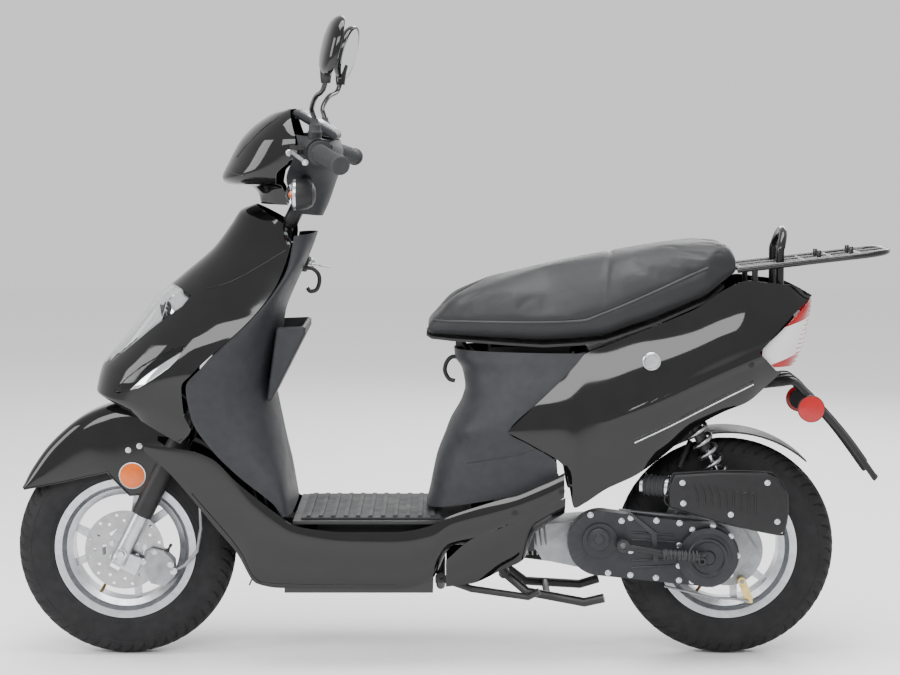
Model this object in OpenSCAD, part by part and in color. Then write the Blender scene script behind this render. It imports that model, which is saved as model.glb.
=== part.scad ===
// Step-through moped scooter with a swinging engine unit.
// X points forward, Y to the rider's left and Z up; the tyres stand on Z = 0.

/* [Running gear] */
// Distance between the axles
wheelbase = 1190; // [1150:5:1210]
// Outer radius of both tyres
tyre_r = 216; // [210:1:218]
// Width of both tyres
tyre_w = 90; // [80:1:92]
// Radius of the rim over its flanges
rim_r = 140; // [136:1:142]
// Lean of the steering axis from the vertical, in degrees
rake = 27; // [25:0.5:28]
// Stroke that the fork legs allow
fork_travel = 55; // [40:1:55]
// Radius of the front brake disc
disc_r = 78; // [70:1:80]

/* [Bodywork] */
// Wall of the moulded panels
wall = 3; // [2.5:0.1:3.5]
// Half width over the leg shield
shield_w = 172; // [165:1:178]
// Half width over the side skirts
skirt_w = 168; // [164:1:172]
// Half width over the tail panels
tail_w = 150; // [145:1:155]
// Half width of the seat
seat_w = 132; // [125:1:138]

/* [Controls] */
// Half width over the handlebar grips
bar_w = 325; // [315:1:335]
// Radius of the handlebar tube
bar_r = 11; // [10:0.5:12]
// Radius of the grips
grip_r = 16; // [15:0.5:17]
// Half width between the mirror heads' centres
mirror_w = 300; // [280:1:310]

/* [Hidden] */
$fn = 48;
rear_x = -545;
front_x = rear_x + wheelbase;
axle_z = tyre_r;
fork_y = 79;
run = 0.05;                      // radial clearance of a running fit
gap = 0.6;                       // clearance between neighbouring pieces
swing_at = [-150, 0, 230];       // engine hanger pivot
shock_top = [-445, 80, 533];
shock_foot = [-557, 80, 300];
kick_at = [-334, 0, 240];
stand_at = [-105, 0, 168];
prop_at = [20, 116, 170];
prop_tilt = 55;                  // lean of the side stand's pin from the vertical
seat_hinge = [-16, 0, 627];
key_at = [284, -45, 776];

// ---- helpers ----

// Round bar from a to b
module bar(a, b, r, r2 = 0) {
    d = b - a;
    len = norm(d);
    translate(a) rotate([0, acos(d.z / len), atan2(d.y, d.x)])
        cylinder(h = len, r1 = r, r2 = r2 == 0 ? r : r2);
}

// Tube swept along a list of points, with mitred corners and closed ends
function unit(v) = v / norm(v);
module pipe(points, r, sides = 12) {
    n = len(points);
    ways = [for (i = [0 : n - 1]) i == 0 ? unit(points[1] - points[0])
        : i == n - 1 ? unit(points[i] - points[i - 1])
        : unit(unit(points[i + 1] - points[i]) + unit(points[i] - points[i - 1]))];
    start = unit(cross(abs(ways[0].y) < 0.9 ? [0, 1, 0] : [1, 0, 0], ways[0]));
    across = [for (i = 0, u = start; i < n;
        i = i + 1, u = i < n ? unit(u - (u * ways[i]) * ways[i]) : u) u];
    ring_points = [for (i = [0 : n - 1], k = [0 : sides - 1])
        points[i] + r * (cos(360 * k / sides) * across[i] + sin(360 * k / sides) * cross(ways[i], across[i]))];
    walls = [for (i = [0 : n - 2], k = [0 : sides - 1]) let (a = i * sides + k, b = i * sides + (k + 1) % sides)
        for (f = [[a, a + sides, b + sides], [a, b + sides, b]]) f];
    polyhedron(ring_points, concat(walls, [[for (k = [0 : sides - 1]) k],
        [for (k = [sides - 1 : -1 : 0]) (n - 1) * sides + k]]));
}

// Copies on the left and on the right
module both() { children(); mirror([0, 1, 0]) children(); }

// Outline in the side view, drawn as [x, z], given a width from y0 to y1
module side_cut(y0, y1) { translate([0, y1, 0]) rotate([90, 0, 0]) linear_extrude(y1 - y0) children(); }

// Local frame on the steering axis: origin on the front axle, Z up the axis
module fork_frame(s = 0) { translate([front_x, 0, axle_z]) rotate([0, -rake, 0]) translate([0, 0, s]) children(); }
function fork_point(s, y = 0, f = 0) =
    [front_x - s * sin(rake) + f * cos(rake), y, axle_z + s * cos(rake) + f * sin(rake)];

// Local frame on the side stand's pin
module prop_frame() { translate(prop_at) rotate([-prop_tilt, 0, 0]) children(); }

// Cylinder lying across the vehicle, centred on y
module cross(at, r, y0, y1) { translate([at.x, y1, at.z]) rotate([90, 0, 0]) cylinder(h = y1 - y0, r = r); }

// Closed wall between an outer and an inner grid of points
module skin(outer, inner) {
    m = len(outer);
    n = len(outer[0]);
    points = [for (grid = [outer, inner]) for (row = grid) for (p = row) p];
    function id(k, i, j) = k * m * n + i * n + j;
    walls = [for (i = [0 : m - 2], j = [0 : n - 2]) for (f = [
        [id(0, i, j), id(0, i, j + 1), id(0, i + 1, j + 1)],
        [id(0, i, j), id(0, i + 1, j + 1), id(0, i + 1, j)],
        [id(1, i, j), id(1, i + 1, j + 1), id(1, i, j + 1)],
        [id(1, i, j), id(1, i + 1, j), id(1, i + 1, j + 1)]]) f];
    sides = [for (i = [0 : m - 2]) for (f = [
        [id(1, i, 0), id(0, i, 0), id(0, i + 1, 0)],
        [id(1, i, 0), id(0, i + 1, 0), id(1, i + 1, 0)],
        [id(1, i, n - 1), id(0, i + 1, n - 1), id(0, i, n - 1)],
        [id(1, i, n - 1), id(1, i + 1, n - 1), id(0, i + 1, n - 1)]]) f];
    ends = [for (j = [0 : n - 2]) for (f = [
        [id(1, 0, j), id(0, 0, j + 1), id(0, 0, j)],
        [id(1, 0, j), id(1, 0, j + 1), id(0, 0, j + 1)],
        [id(1, m - 1, j), id(0, m - 1, j), id(0, m - 1, j + 1)],
        [id(1, m - 1, j), id(0, m - 1, j + 1), id(1, m - 1, j + 1)]]) f];
    polyhedron(points, concat(walls, sides, ends));
}

// Panel bent round a nose. Each row is [z at the nose, z at the edges, x at the nose, x at the
// edges, half width, squareness]; the wall lies inside.
function nose_row(s, steps, t) = [for (k = [0 : steps]) let (
    c = cos(180 * k / steps), f = pow(sin(180 * k / steps), 2 / s[5]), way = sign(s[2] - s[3]))
    [s[3] + (s[2] - way * t - s[3]) * f, (s[4] - t) * sign(c) * pow(abs(c), 2 / s[5]), s[1] + (s[0] - s[1]) * f]];
module nose_panel(rows, steps = 16) {
    flip = sign(rows[0][2] - rows[0][3]) > 0;
    outer = [for (s = rows) nose_row(s, steps, 0)];
    inner = [for (s = rows) nose_row(s, steps, wall)];
    if (flip) skin(outer, inner); else skin(inner, outer);
}

// Left-hand side panel. Each row is [x, low z, high z, low y, middle y, high y]
function side_row(s, steps, t) = [for (k = [0 : steps]) let (v = k / steps)
    [s[0], s[3] * (1 - v) * (1 - 2 * v) + s[4] * 4 * v * (1 - v) + s[5] * v * (2 * v - 1) - t,
        s[1] + (s[2] - s[1]) * v]];
module side_panel(rows, steps = 6, t = wall) {
    skin([for (s = rows) side_row(s, steps, 0)], [for (s = rows) side_row(s, steps, t)]);
}

// ---- frame and bodywork ----

// Welded steel frame: head tube, down tube, floor rails and seat loop
module main_frame() {
    color("#202123") difference() {
        union() {
            fork_frame() translate([0, 0, 470]) cylinder(h = 220, r = 24);
            pipe([fork_point(560, 0, -20), [394, 0, 520], [352, 0, 400], [346, 0, 262]], 19);
            cross([346, 0, 245], 16, -92, 92);
            both() {
                pipe([[346, 84, 245], [-40, 84, 245], [-125, 84, 300], [-215, 84, 545], [-620, 84, 660]], 13);
                pipe([[-215, 84, 545], [-58, 54, 584]], 9);
                for (y = [62, 93]) translate([shock_top.x - 12, y, 521]) cube([24, 4, 92]);
            }
            cross([-58, 0, 584], 9, -56, 56);
            cross([-40, 0, 245], 13, -84, 84);
            cross([-250, 0, 555], 11, -84, 84);
            cross([-610, 0, 657], 11, -84, 84);
            both() {
                translate([-164, 58, 216]) cube([28, 10, 60]);
                bar([-150, 67, 268], [-125, 82, 300], 8);
            }
            cross(stand_at, 7, -62, 62);
            both() bar([-105, 60, 170], [-60, 74, 240], 8);
            bar([20, 84, 245], [20, 88, 156], 9);
            prop_frame() translate([0, 0, -28]) cylinder(h = 18, r = 9);
            prop_frame() translate([0, 0, -11]) cylinder(h = 25, r = 4);
        }
        fork_frame() translate([0, 0, 460]) cylinder(h = 240, r = 15);
        cross(swing_at, 6, -100, 100);
    }
    // Bearing cups pressed into the head tube
    color("silver") for (s = [470, 676]) fork_frame(s) difference() {
        cylinder(h = 14, r = 14.9);
        translate([0, 0, -1]) cylinder(h = 16, r = 13 + run);
    }
    // Engine hanger bolt
    color("silver") cross(swing_at, 6 - run, -74, 74);
    color("silver") both() cross(shock_top, 6, 60, 99);
    // Front eyes of the seat hinge
    color("#202123") both() bar([-58, 30, 584], seat_hinge + [-2, 30, -3], 4.9);
    color("silver") cross(seat_hinge, 4, -44, 44);
}

fairing_rows = [
    [516, 443, 652, 520, 160, 2.6], [523, 470, 680, 500, 164, 2.6], [534, 500, 699, 512, 165, 2.5],
    [552, 552, 696, 516, 168, 2.4], [581, 580, 688, 494, shield_w, 2.3], [634, 625, 645, 446, 168, 2.3],
    [683, 668, 606, 398, 158, 2.2], [713, 700, 582, 368, 146, 2.2], [762, 745, 525, 336, 128, 2.2],
    [814, 790, 465, 318, 110, 2.2], [858, 824, 432, 309, 96, 2.2], [886, 842, 412, 307, 86, 2.2],
    [897, 852, 386, 307, 80, 2.2]];

// Side views of the openings for the headlight and the turn lamps
module headlight_side() {
    polygon([[560, 745], [500, 727], [553, 683], [613, 634], [662, 594], [700, 576], [740, 700]]);
}
module turn_side() { polygon([[648, 538], [600, 551], [540, 590], [510, 633], [562, 612], [622, 573]]); }

// Front fairing from the nose lip up to the steering neck
module front_fairing() {
    color("#0b0b0d") difference() {
        nose_panel(fairing_rows, 20);
        side_cut(-250, 250) offset(delta = gap) headlight_side();
        side_cut(-250, 250) offset(delta = gap) turn_side();
    }
}

// Reflector bowls behind the front and the rear lenses
module lamp_housings() {
    color("silver") both() difference() {
        bar([520, 48, 668], [560, 52, 660], 20, 44);
        bar([524, 48, 667], [562, 52, 659.6], 16, 41);
    }
    color("darkred") difference() {
        translate([-668, -68, 614]) cube([26, 136, 80]);
        translate([-672, -64, 618]) cube([26, 128, 72]);
    }
}

// Headlight lens across the nose and the two turn lenses under it
module front_lenses() {
    color("#dfe6ea", 0.6) intersection() {
        nose_panel(fairing_rows, 20);
        side_cut(-250, 250) { headlight_side(); turn_side(); }
    }
}

// Inner leg shield with its moulded storage pocket and bag hook
module leg_shield() {
    color("#2c2d30") {
        nose_panel([
            [300, 300, 308, 326, 156, 3.4], [383, 322, 320, 340, 157, 3], [440, 380, 330, 410, 158, 2.8],
            [521, 430, 345, 460, 156, 2.6], [560, 490, 352, 498, 160, 2.5], [600, 550, 344, 508, 163, 2.4],
            [655, 590, 332, 478, 166, 2.3], [687, 640, 327, 430, 160, 2.3], [774, 720, 290, 351, 133, 2.2],
            [810, 780, 274, 315, 108, 2.2], [842, 838, 262, 304, 82, 2.2]], 16);
        difference() {
            side_cut(-105, 105) polygon([[358, 519], [338, 662], [282, 664], [282, 649], [348, 519]]);
            side_cut(-101, 101) polygon([[351, 530], [334, 666], [286, 668], [286, 650]]);
        }
        pipe([[292, 0, 770], [268, 0, 764], [262, 0, 742], [270, 0, 722], [282, 0, 728]], 4);
        bar([304, -45, 780], key_at + [1.5, 0, 0.3], 13);
    }
}

// Splash guard behind the front wheel
module inner_fender() {
    color("#18191b") side_cut(-118, 118) difference() {
        translate([front_x - 25, axle_z + 49]) circle(r = 252);
        translate([front_x - 25, axle_z + 49]) circle(r = 249);
        translate([430, 0]) square([600, 700]);
        translate([300, -60]) square([300, 218]);
        translate([300, 420]) square([300, 218]);
    }
}

// Floor between the leg shield and the seat base
module footboard() {
    color("#26272a") {
        translate([-40, -157, 286]) cube([345, 314, 6]);
        both() translate([-40, 120, 262]) cube([300, 6, 24]);
    }
}

// Ribbed rubber mat let into the floor
module foot_mat() {
    color("#1a1b1c") {
        translate([20, -140, 293]) cube([270, 280, 3]);
        for (i = [0 : 10]) translate([32 + i * 24, -132, 296]) cube([8, 264, 3]);
    }
}

skirt_rows = [
    [590, 428, 440, 158, 160, 160], [545, 388, 436, 156, 162, 163], [500, 334, 430, 150, 163, 166],
    [458, 280, 414, 146, 163, 167], [415, 226, 372, 140, 163, 168], [379, 164, 342, 128, 163, 168],
    [335, 154, 308, 124, 163, 168], [298, 153, 284, 122, 162, skirt_w], [200, 152, 272, 122, 162, 166],
    [108, 152, 272, 124, 162, 165], [40, 170, 284, 126, 163, 165], [0, 240, 304, 146, 166, 164],
    [-60, 264, 324, 154, 167, 163], [-126, 293, 344, 158, 168, 162], [-180, 316, 368, 160, 168, 161],
    [-218, 338, 386, 160, 167, 160]];
module side_skirt() { color("#0b0b0d") side_panel(skirt_rows); }
module left_side_skirt() { side_skirt(); }
module right_side_skirt() { mirror([0, 1, 0]) side_skirt(); }

// Tray under the floor
module belly_pan() {
    color("#151618") {
        translate([35, -117, 143]) cube([290, 234, 4]);
        both() translate([35, 113, 147]) cube([290, 4, 60]);
        translate([321, -113, 147]) cube([4, 226, 50]);
    }
}

// Dark cover under the front of the seat
module seat_base_cover() {
    color("#2a2b2e") difference() {
        nose_panel([
            [306, 352, 48, -196, 142, 3.6], [331, 372, 42, -206, 142, 3.6], [398, 402, 28, -204, 146, 3.2],
            [440, 438, 12, -152, 146, 3], [466, 464, 2, -112, 144, 3], [511, 508, -22, -154, 138, 2.8],
            [537, 534, -28, -190, 134, 2.8], [572, 568, -22, -226, 126, 2.6], [596, 594, -8, -244, 120, 2.6],
            [614, 612, -6, -256, 115, 2.6]], 16);
        side_cut(100, 200) translate([-170, 394]) rotate(-50) square([9, 20], center = true);
    }
}

wing_rows = [
    [10, 158, 214, 132, 149, 153], [-40, 162, 256, 120, 145, 153], [-100, 188, 279, 112, 143, 153],
    [-140, 206, 300, 108, 142, 152], [-165, 262, 312, 112, 142, 152], [-221, 300, 336, 116, 142, 152]];
tail_rows = [
    [-111, 462, 467, 148, 148, 148], [-160, 436, 513, 147, 149, 143], [-219, 394, 568, 142, 152, 130],
    [-221.6, 300, 572, 118, 152, 128], [-262, 322, 614, 120, tail_w, 120], [-300, 348, 628, 122, tail_w, 118],
    [-360, 376, 652, 118, 148, 116], [-420, 420, 676, 114, 146, 112], [-476, 469, 700, 110, 143, 108],
    [-530, 498, 735, 106, 139, 98], [-575, 516, 752, 102, 135, 92], [-610, 545, 748, 98, 129, 88],
    [-660, 600, 742, 104, 122, 80], [-702, 700, 724, 98, 98, 70]];
module tail_panel() {
    color("#0b0b0d") difference() {
        union() { side_panel(wing_rows, 4); side_panel(tail_rows, 8); }
        side_cut(60, 200) polygon([[-594, 616], [-700, 722], [-760, 722], [-760, 560], [-630, 578]]);
        cross([-385, 0, 601], 13.5, 100, 200);
    }
}
module left_tail_panel() { tail_panel(); }
module right_tail_panel() { mirror([0, 1, 0]) tail_panel(); }

// Clear rear lamp lens, its red strip and the red side reflectors
module rear_lenses() {
    lamp_rows = [[585, 585, -676, -600, 112, 2.6], [620, 618, -692, -602, 116, 2.4],
        [660, 650, -700, -632, 114, 2.4], [700, 690, -706, -670, 106, 2.4], [722, 716, -706, -688, 96, 2.4]];
    color("#e6e6ea", 0.7) intersection() {
        nose_panel(lamp_rows, 16);
        side_cut(-200, 200) polygon([[-596, 615], [-709, 728], [-760, 724], [-760, 560], [-632, 577]]);
    }
    color("crimson") both() cross([-703, 0, 500], 26, 79, 84);
    color("black") both() cross([-703, 0, 500], 20, 75.3, 79.1);
}

// Rear mudguard blade under the tail
module rear_mudguard() {
    color("#1c1d1f") {
        side_cut(-75, 75) polygon([[-605, 556], [-676, 560], [-720, 520], [-842, 362], [-832, 370], [-716, 508],
            [-672, 548], [-605, 546]]);
        both() side_cut(58, 62) polygon([[-640, 540], [-672, 546], [-735, 478], [-720, 470], [-672, 500]]);
    }
}

rack_low = 772;
// Height of the carrier's top over the vehicle, rising to the rear
function rack_z(x) = rack_low + (-560 - x) * 0.115;
// Tubular luggage carrier with a grab hoop
module luggage_rack() {
    hoop = [for (a = [0 : 20 : 180]) [-642 - 10 * sin(a), 52 * cos(a), 806 + 40 * sin(a)]];
    color("#0d0d0e") {
        both() pipe([[-560, 78, rack_z(-560)], [-806, 78, rack_z(-806)], [-842, 60, rack_z(-842)],
            [-855, 30, rack_z(-855)], [-855, 0, rack_z(-855)]], 6);
        both() pipe([[-560, 26, rack_z(-560)], [-853, 26, rack_z(-853)]], 4);
        for (x = [-565, -690, -745, -800]) cross([x, 0, rack_z(x) - 2], 4, -78, 78);
        pipe(concat([[-640, 52, 700]], hoop, [[-640, -52, 700]]), 8);
        both() for (x = [-722, -785]) bar([x, 78, rack_z(x)], [x, 78, rack_z(x) - 22], 4);
        both() bar([-590, 78, rack_z(-590)], [-590, 78, 668], 6);
    }
}

// Storage tub under the front of the seat
module storage_bucket() {
    color("#1b1c1e") difference() {
        translate([-232, -70, 440]) cube([158, 140, 180]);
        translate([-228, -66, 444]) cube([150, 132, 190]);
        both() bar([-215, 84, 545], [-58, 54, 584], 11);
    }
}

filler = [-520, 0, 672];
// Fuel tank under the rear of the seat
module fuel_tank() {
    color("#222326") difference() {
        union() {
            side_cut(-58, 58) polygon([[-560, 590], [-560, 672], [-480, 672], [-300, 622], [-270, 612], [-270, 590]]);
            translate(filler - [0, 0, 1]) cylinder(h = 16, r = 26);
        }
        side_cut(-54, 54) polygon([[-556, 594], [-556, 668], [-481, 668], [-300, 618], [-274, 609], [-274, 594]]);
        translate(filler - [0, 0, 20]) cylinder(h = 40, r = 20);
    }
}

// Screw cap of the tank
module fuel_cap() {
    color("black") translate(filler + [0, 0, 15.4]) {
        difference() {
            cylinder(h = 12, r = 30);
            for (a = [0 : 30 : 359]) rotate(a) translate([31, 0, -1]) cylinder(h = 14, r = 2.5);
        }
        translate([-26, -4, 11.9]) cube([52, 8, 5]);
    }
}

// Ignition barrel and key, on the right of the leg shield
module ignition_key() {
    color("silver") translate(key_at) rotate([0, -100, 0]) {
        cylinder(h = 12, r = 9);
        translate([-1, -3, 11]) cube([2, 6, 12]);
        translate([-1.5, -11, 22]) cube([3, 22, 24]);
    }
}

// Turning barrel of the seat lock in the left tail panel
module seat_lock() {
    color("silver") difference() {
        cross([-385, 0, 601], 13, 138, 154);
        translate([-389, 152, 600]) cube([8, 4, 2]);
    }
}

// ---- steering ----

bar_mid = [250, 0, 985];
lever_at = [295, 186, 1002];
mirror_ball = [230, 286, 1136];
mirror_neck = [236, 271, 1118];
bar_root = [252, 190, 1003];
bar_tip = [202, bar_w, 981];
bar_dir = (bar_tip - bar_root) / norm(bar_tip - bar_root);
// Point a distance along the left grip from its root
function on_bar(d) = bar_root + bar_dir * d;

// Handlebar, its clamp on the stem and the mirror stems
module handlebar() {
    color("#1a1a1c") {
        bar(fork_point(722), fork_point(868), 15);
        both() pipe([bar_mid, [252, 95, 1003], bar_root, on_bar(140)], bar_r);
        both() {
            pipe([[257, 176, 1048], [262, 182, 1080], [252, 222, 1106], mirror_neck, mirror_ball], 5);
            translate(mirror_ball) sphere(r = 6.5);
        }
    }
    color("black") both() bar([257, 176, 1036.4], [257, 176, 1056], 10);
}

// Glossy cowl round the front of the handlebar
module headset_cowl() {
    color("#0b0b0d") difference() {
        nose_panel([
            [898, 896, 374, 318, 44, 2.2], [917, 916, 378, 322, 48, 2.2], [934, 934, 402, 330, 58, 2.2],
            [936, 940, 436, 336, 110, 2.1], [950, 958, 449, 334, 132, 2.1], [981, 984, 435, 308, 146, 2.1], [1004, 1006, 423, 296, 150, 2.1],
            [1022, 1024, 412, 296, 148, 2.1], [1047, 1048, 389, 302, 134, 2.1], [1062, 1064, 369, 306, 120, 2.1],
            [1075, 1076, 346, 308, 104, 2.1], [1082, 1083, 318, 309, 90, 2.1]], 20);
        both() cross([258, 0, 1000], 34, 60, 200);
    }
}

// Matt cover on the rider's side of the handlebar
module headset_back() {
    color("#303134") difference() {
        nose_panel([
            [874, 880, 252, 304, 42, 2.4], [900, 904, 240, 308, 54, 2.4], [940, 946, 226, 318, 84, 2.4],
            [970, 980, 216, 306, 118, 2.4], [1000, 1010, 212, 292, 128, 2.4], [1022, 1034, 218, 296, 124, 2.4]], 16);
        both() cross([252, 0, 1002], 19, 60, 200);
    }
    gauge_panel();
    bar_lamps();
}

// Gauge panel, part of the rear cover
module gauge_panel() {
    color("#2b2c2f") translate([262, 0, 1054]) rotate([0, -31, 0]) difference() {
        translate([-48, -88, -8]) cube([94, 176, 14]);
        for (y = [-42, 42]) translate([0, y, 2]) cylinder(h = 10, r = 34);
    }
    color("white") translate([262, 0, 1054]) rotate([0, -31, 0])
        for (y = [-42, 42]) translate([0, y, 2.1]) cylinder(h = 2, r = 33.6);
}

module grip_body(bore) {
    difference() {
        union() {
            bar(on_bar(18), on_bar(140), grip_r);
            bar(on_bar(12), on_bar(18.1), grip_r + 7);
            bar(on_bar(139.9), on_bar(148), grip_r + 1);
        }
        bar(on_bar(11), on_bar(140.6), bar_r + bore);
    }
}
// Rubber grip on the clutch-less left end
module left_grip() { color("#202123") grip_body(0.1); }
// Twist grip on the right end
module throttle_grip() { color("#202123") mirror([0, 1, 0]) grip_body(run); }

// Switch and throttle housings round the bar, with the mirror bosses and lever lugs
module switch_housings() {
    color("#1c1d1f") both() difference() {
        union() {
            bar(on_bar(-36), on_bar(10), 26);
            bar([257, 176, 1012], [257, 176, 1036], 13);
            translate([262, 176, 990]) cube([41, 20, 8]);
            translate([262, 176, 1006.6]) cube([41, 20, 8]);
        }
        bar(on_bar(-60), on_bar(20), bar_r + 0.1);
        bar(on_bar(-26) + [-34, 0, 3], on_bar(-26) + [-20, 0, 3], 6.4);
        for (up = [9, -9]) bar(on_bar(-8) + [-34, 0, up], on_bar(-8) + [-20, 0, up], 5.4);
        translate(lever_at - [0, 0, 22]) cylinder(h = 40, r = 3);
    }
    // Front brake reservoir on the right
    color("#1c1d1f") translate([265, -190, 1012]) cube([35, 32, 22]);
    color("silver") both() translate(lever_at - [0, 0, 13]) cylinder(h = 26.6, r = 3 - run);
}

// Round turn lamps on stalks under the handlebar
module bar_lamps() {
    color("#2b2c2f") both() {
        translate([284, 172, 922]) sphere(r = 29);
        bar([276, 76, 950], [284, 160, 925], 7);
    }
    color("silver") both() bar([313.4, 172, 922], [320, 172, 922], 22, 14);
}

module brake_lever() {
    difference() {
        union() {
            translate(lever_at - [0, 0, 3.6]) cylinder(h = 7.8, r = 9);
            pipe([lever_at + [0, 0, 0.3], [296, 212, 1002], [285, 250, 996], [268, 314, 986]], 3.8);
            translate([267, 317, 986]) sphere(r = 6.5);
        }
        translate(lever_at - [0, 0, 12]) cylinder(h = 30, r = 3);
    }
}
module left_brake_lever() { color("#3a3b3e") brake_lever(); }
module right_brake_lever() { color("#3a3b3e") mirror([0, 1, 0]) brake_lever(); }

module button(d, up, r) { bar(on_bar(d) + [-32, 0, up], on_bar(d) + [-24, 0, up], r); }
module starter_button() { color("gold") mirror([0, 1, 0]) button(-26, 3, 6); }
module horn_button() { color("black") button(-26, 3, 6); }
module beam_switch() { color("dimgray") button(-8, 9, 5); }
module indicator_switch() { color("dimgray") button(-8, -9, 5); }

// Mirror head on its ball at the end of the stem
module mirror_head() {
    difference() {
        union() {
            translate([222, mirror_w, 1198]) rotate([0, 76, 12]) cylinder(h = 22, r1 = 60, r2 = 38, center = true);
            bar(mirror_ball - [0, 0, 4], [226, mirror_w - 8, 1168], 10, 14);
        }
        translate(mirror_ball) sphere(r = 6.5 + run);
        bar(mirror_ball, mirror_ball + 0.8 * (mirror_neck - mirror_ball), 6.4, 15);
    }
}
module left_mirror() { color("#141416") mirror_head(); }
module right_mirror() { color("#141416") mirror([0, 1, 0]) mirror_head(); }

// Steering stem, lower yoke and the two fork stanchions
module fork_crown() {
    color("#2a2b2d") fork_frame() {
        translate([0, 0, 340]) cylinder(h = 382, r = 13);
        translate([-22, -97, 338]) cube([44, 194, 22]);
        translate([0, 0, 360]) cylinder(h = 100, r = 20);
    }
    color("silver") fork_frame() both() translate([0, fork_y, 105]) cylinder(h = 252, r = 13);
}

// Front mudguard with covers over the fork legs and the amber side reflectors
module front_fender() {
    skirt = [[846, 341], [771, 350], [712, 360], [690, 380], [662, 337], [648, 297], [613, 277], [589, 277],
        [563, 317], [540, 366], [520, 420]];
    crown = [[512, 470], [528, 482], [575, 502], [632, 508], [680, 500], [736, 474], [791, 426], [828, 376],
        [846, 341]];
    hub = [front_x, axle_z];
    under = [for (p = crown) p - 4 * (p - hub) / norm(p - hub)];
    color("#0b0b0d") difference() {
        union() {
            difference() {
                side_cut(-61, 61) polygon(concat(crown, [for (i = [1 : len(skirt) - 1]) skirt[i]]));
                side_cut(-57.5, 57.5) polygon(concat([[500, 462]], under, [[870, 200], [480, 200]]));
            }
            fork_frame() both() translate([0, fork_y, 84]) cylinder(h = 178, r = 20);
        }
        fork_frame() both() translate([0, fork_y, 0]) cylinder(h = 400, r = 17.4);
    }
    color("orange") both() cross([626, 0, 366], 26, 61.2, 67);
}

// Fork sliders joined by the front axle
module fork_sliders() {
    color("silver") {
        fork_frame() both() difference() {
            translate([0, fork_y, -22]) cylinder(h = 212, r = 16);
            translate([0, fork_y, 40]) cylinder(h = 200, r = 13 + run);
        }
        fork_frame() difference() {
            translate([-42, fork_y - 8, -30]) cube([34, 12, 34]);
            translate([0, fork_y, 40]) cylinder(h = 200, r = 13 + run);
        }
        cross([front_x, 0, axle_z], 6, -104, 104);
        cross([front_x, 0, axle_z], 11, 92, 101);
        cross([front_x, 0, axle_z], 26, -57, -46.6);
    }
}

// Brake caliper over the rear of the disc, with its armoured hose
module brake_caliper() {
    color("#1b1c1e") difference() {
        side_cut(34, 70) polygon([[606, 212], [590, 222], [566, 216], [546, 196], [544, 166], [566, 146],
            [592, 152], [604, 176]]);
        side_cut(46, 58) translate([front_x, axle_z]) circle(r = disc_r + 4);
        fork_frame() translate([-44, 60, -60]) cube([40, 40, 120]);
    }
    color("#77797c") pipe([[548, 64, 176], [524, 66, 188], [500, 66, 216], [492, 66, 262], [494, 66, 320]], 3.5);
}

// ---- wheels ----

// Cast wheel with three pairs of swept spokes
module rim(hub_r, hub_y0, hub_y1, bore) {
    difference() {
        union() {
            rotate([90, 0, 0]) rotate_extrude($fn = 96) polygon([
                [rim_r, 40], [rim_r, 37], [130, 34], [124, 24], [112, 18], [112, -18], [124, -24], [130, -34],
                [rim_r, -37], [rim_r, -40], [126, -38], [118, -27], [106, -22], [106, 22], [118, 27], [126, 38]]);
            cross([0, 0, 0], hub_r, hub_y0, hub_y1);
            for (i = [0 : 2]) for (side = [-1, 1]) rotate([0, 120 * i + 14 * side, 0]) side_cut(-9, 9)
                polygon([[hub_r - 4, -6 + 2 * side], [70, -9 - 2 * side], [109, -6 - 10 * side],
                    [109, 6 - 10 * side], [70, 7 - 2 * side], [hub_r - 4, 6 + 2 * side]]);
        }
        cross([0, 0, 0], bore, -80, 80);
    }
    color("dimgray") rotate([0, 60, 0]) bar([108, 3, 0], [90, 9, 0], 2.5);
}
module tyre() {
    half = tyre_w / 2;
    color("#1a1b1d") rotate([90, 0, 0]) rotate_extrude($fn = 96) polygon([
        [128, 33.6], [140.2, 37], [141, 42], [158, half], [176, half], [196, half - 5], [208, half - 14],
        [tyre_r - 2, half - 22], [tyre_r, 14], [tyre_r, -14], [tyre_r - 2, 22 - half], [208, 14 - half],
        [196, 5 - half], [176, -half], [158, -half], [141, -42], [140.2, -37], [130.3, -33.8], [132, -28],
        [150, -36], [186, -34], [204, -16], [204, 16], [186, 34], [150, 36], [132, 28], [130.3, 33.8]]);
}
module front_rim() { color("silver") translate([front_x, 0, axle_z]) rim(37, -46, 49.6, 6 + run); }
module front_tyre() { translate([front_x, 0, axle_z]) tyre(); }
module rear_rim() { color("silver") translate([rear_x, 0, axle_z]) rim(62, -40, 46, 8 + run); }
module rear_tyre() { translate([rear_x, 0, axle_z]) tyre(); }

// Drilled disc on the left of the front hub
module brake_disc() {
    color("#b9bbbd") translate([front_x, 0, axle_z]) difference() {
        cross([0, 0, 0], disc_r, 50, 54);
        cross([0, 0, 0], 12, 40, 60);
        for (i = [0 : 5]) rotate([0, 60 * i, 0]) side_cut(40, 60) translate([39, 0]) square([9, 20], center = true);
        for (i = [0 : 11]) for (k = [0 : 1]) rotate([0, 30 * i + 12 * k, 0]) cross([58 + 12 * k, 0, 0], 3.2, 40, 60);
    }
}

// ---- engine unit ----

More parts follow.
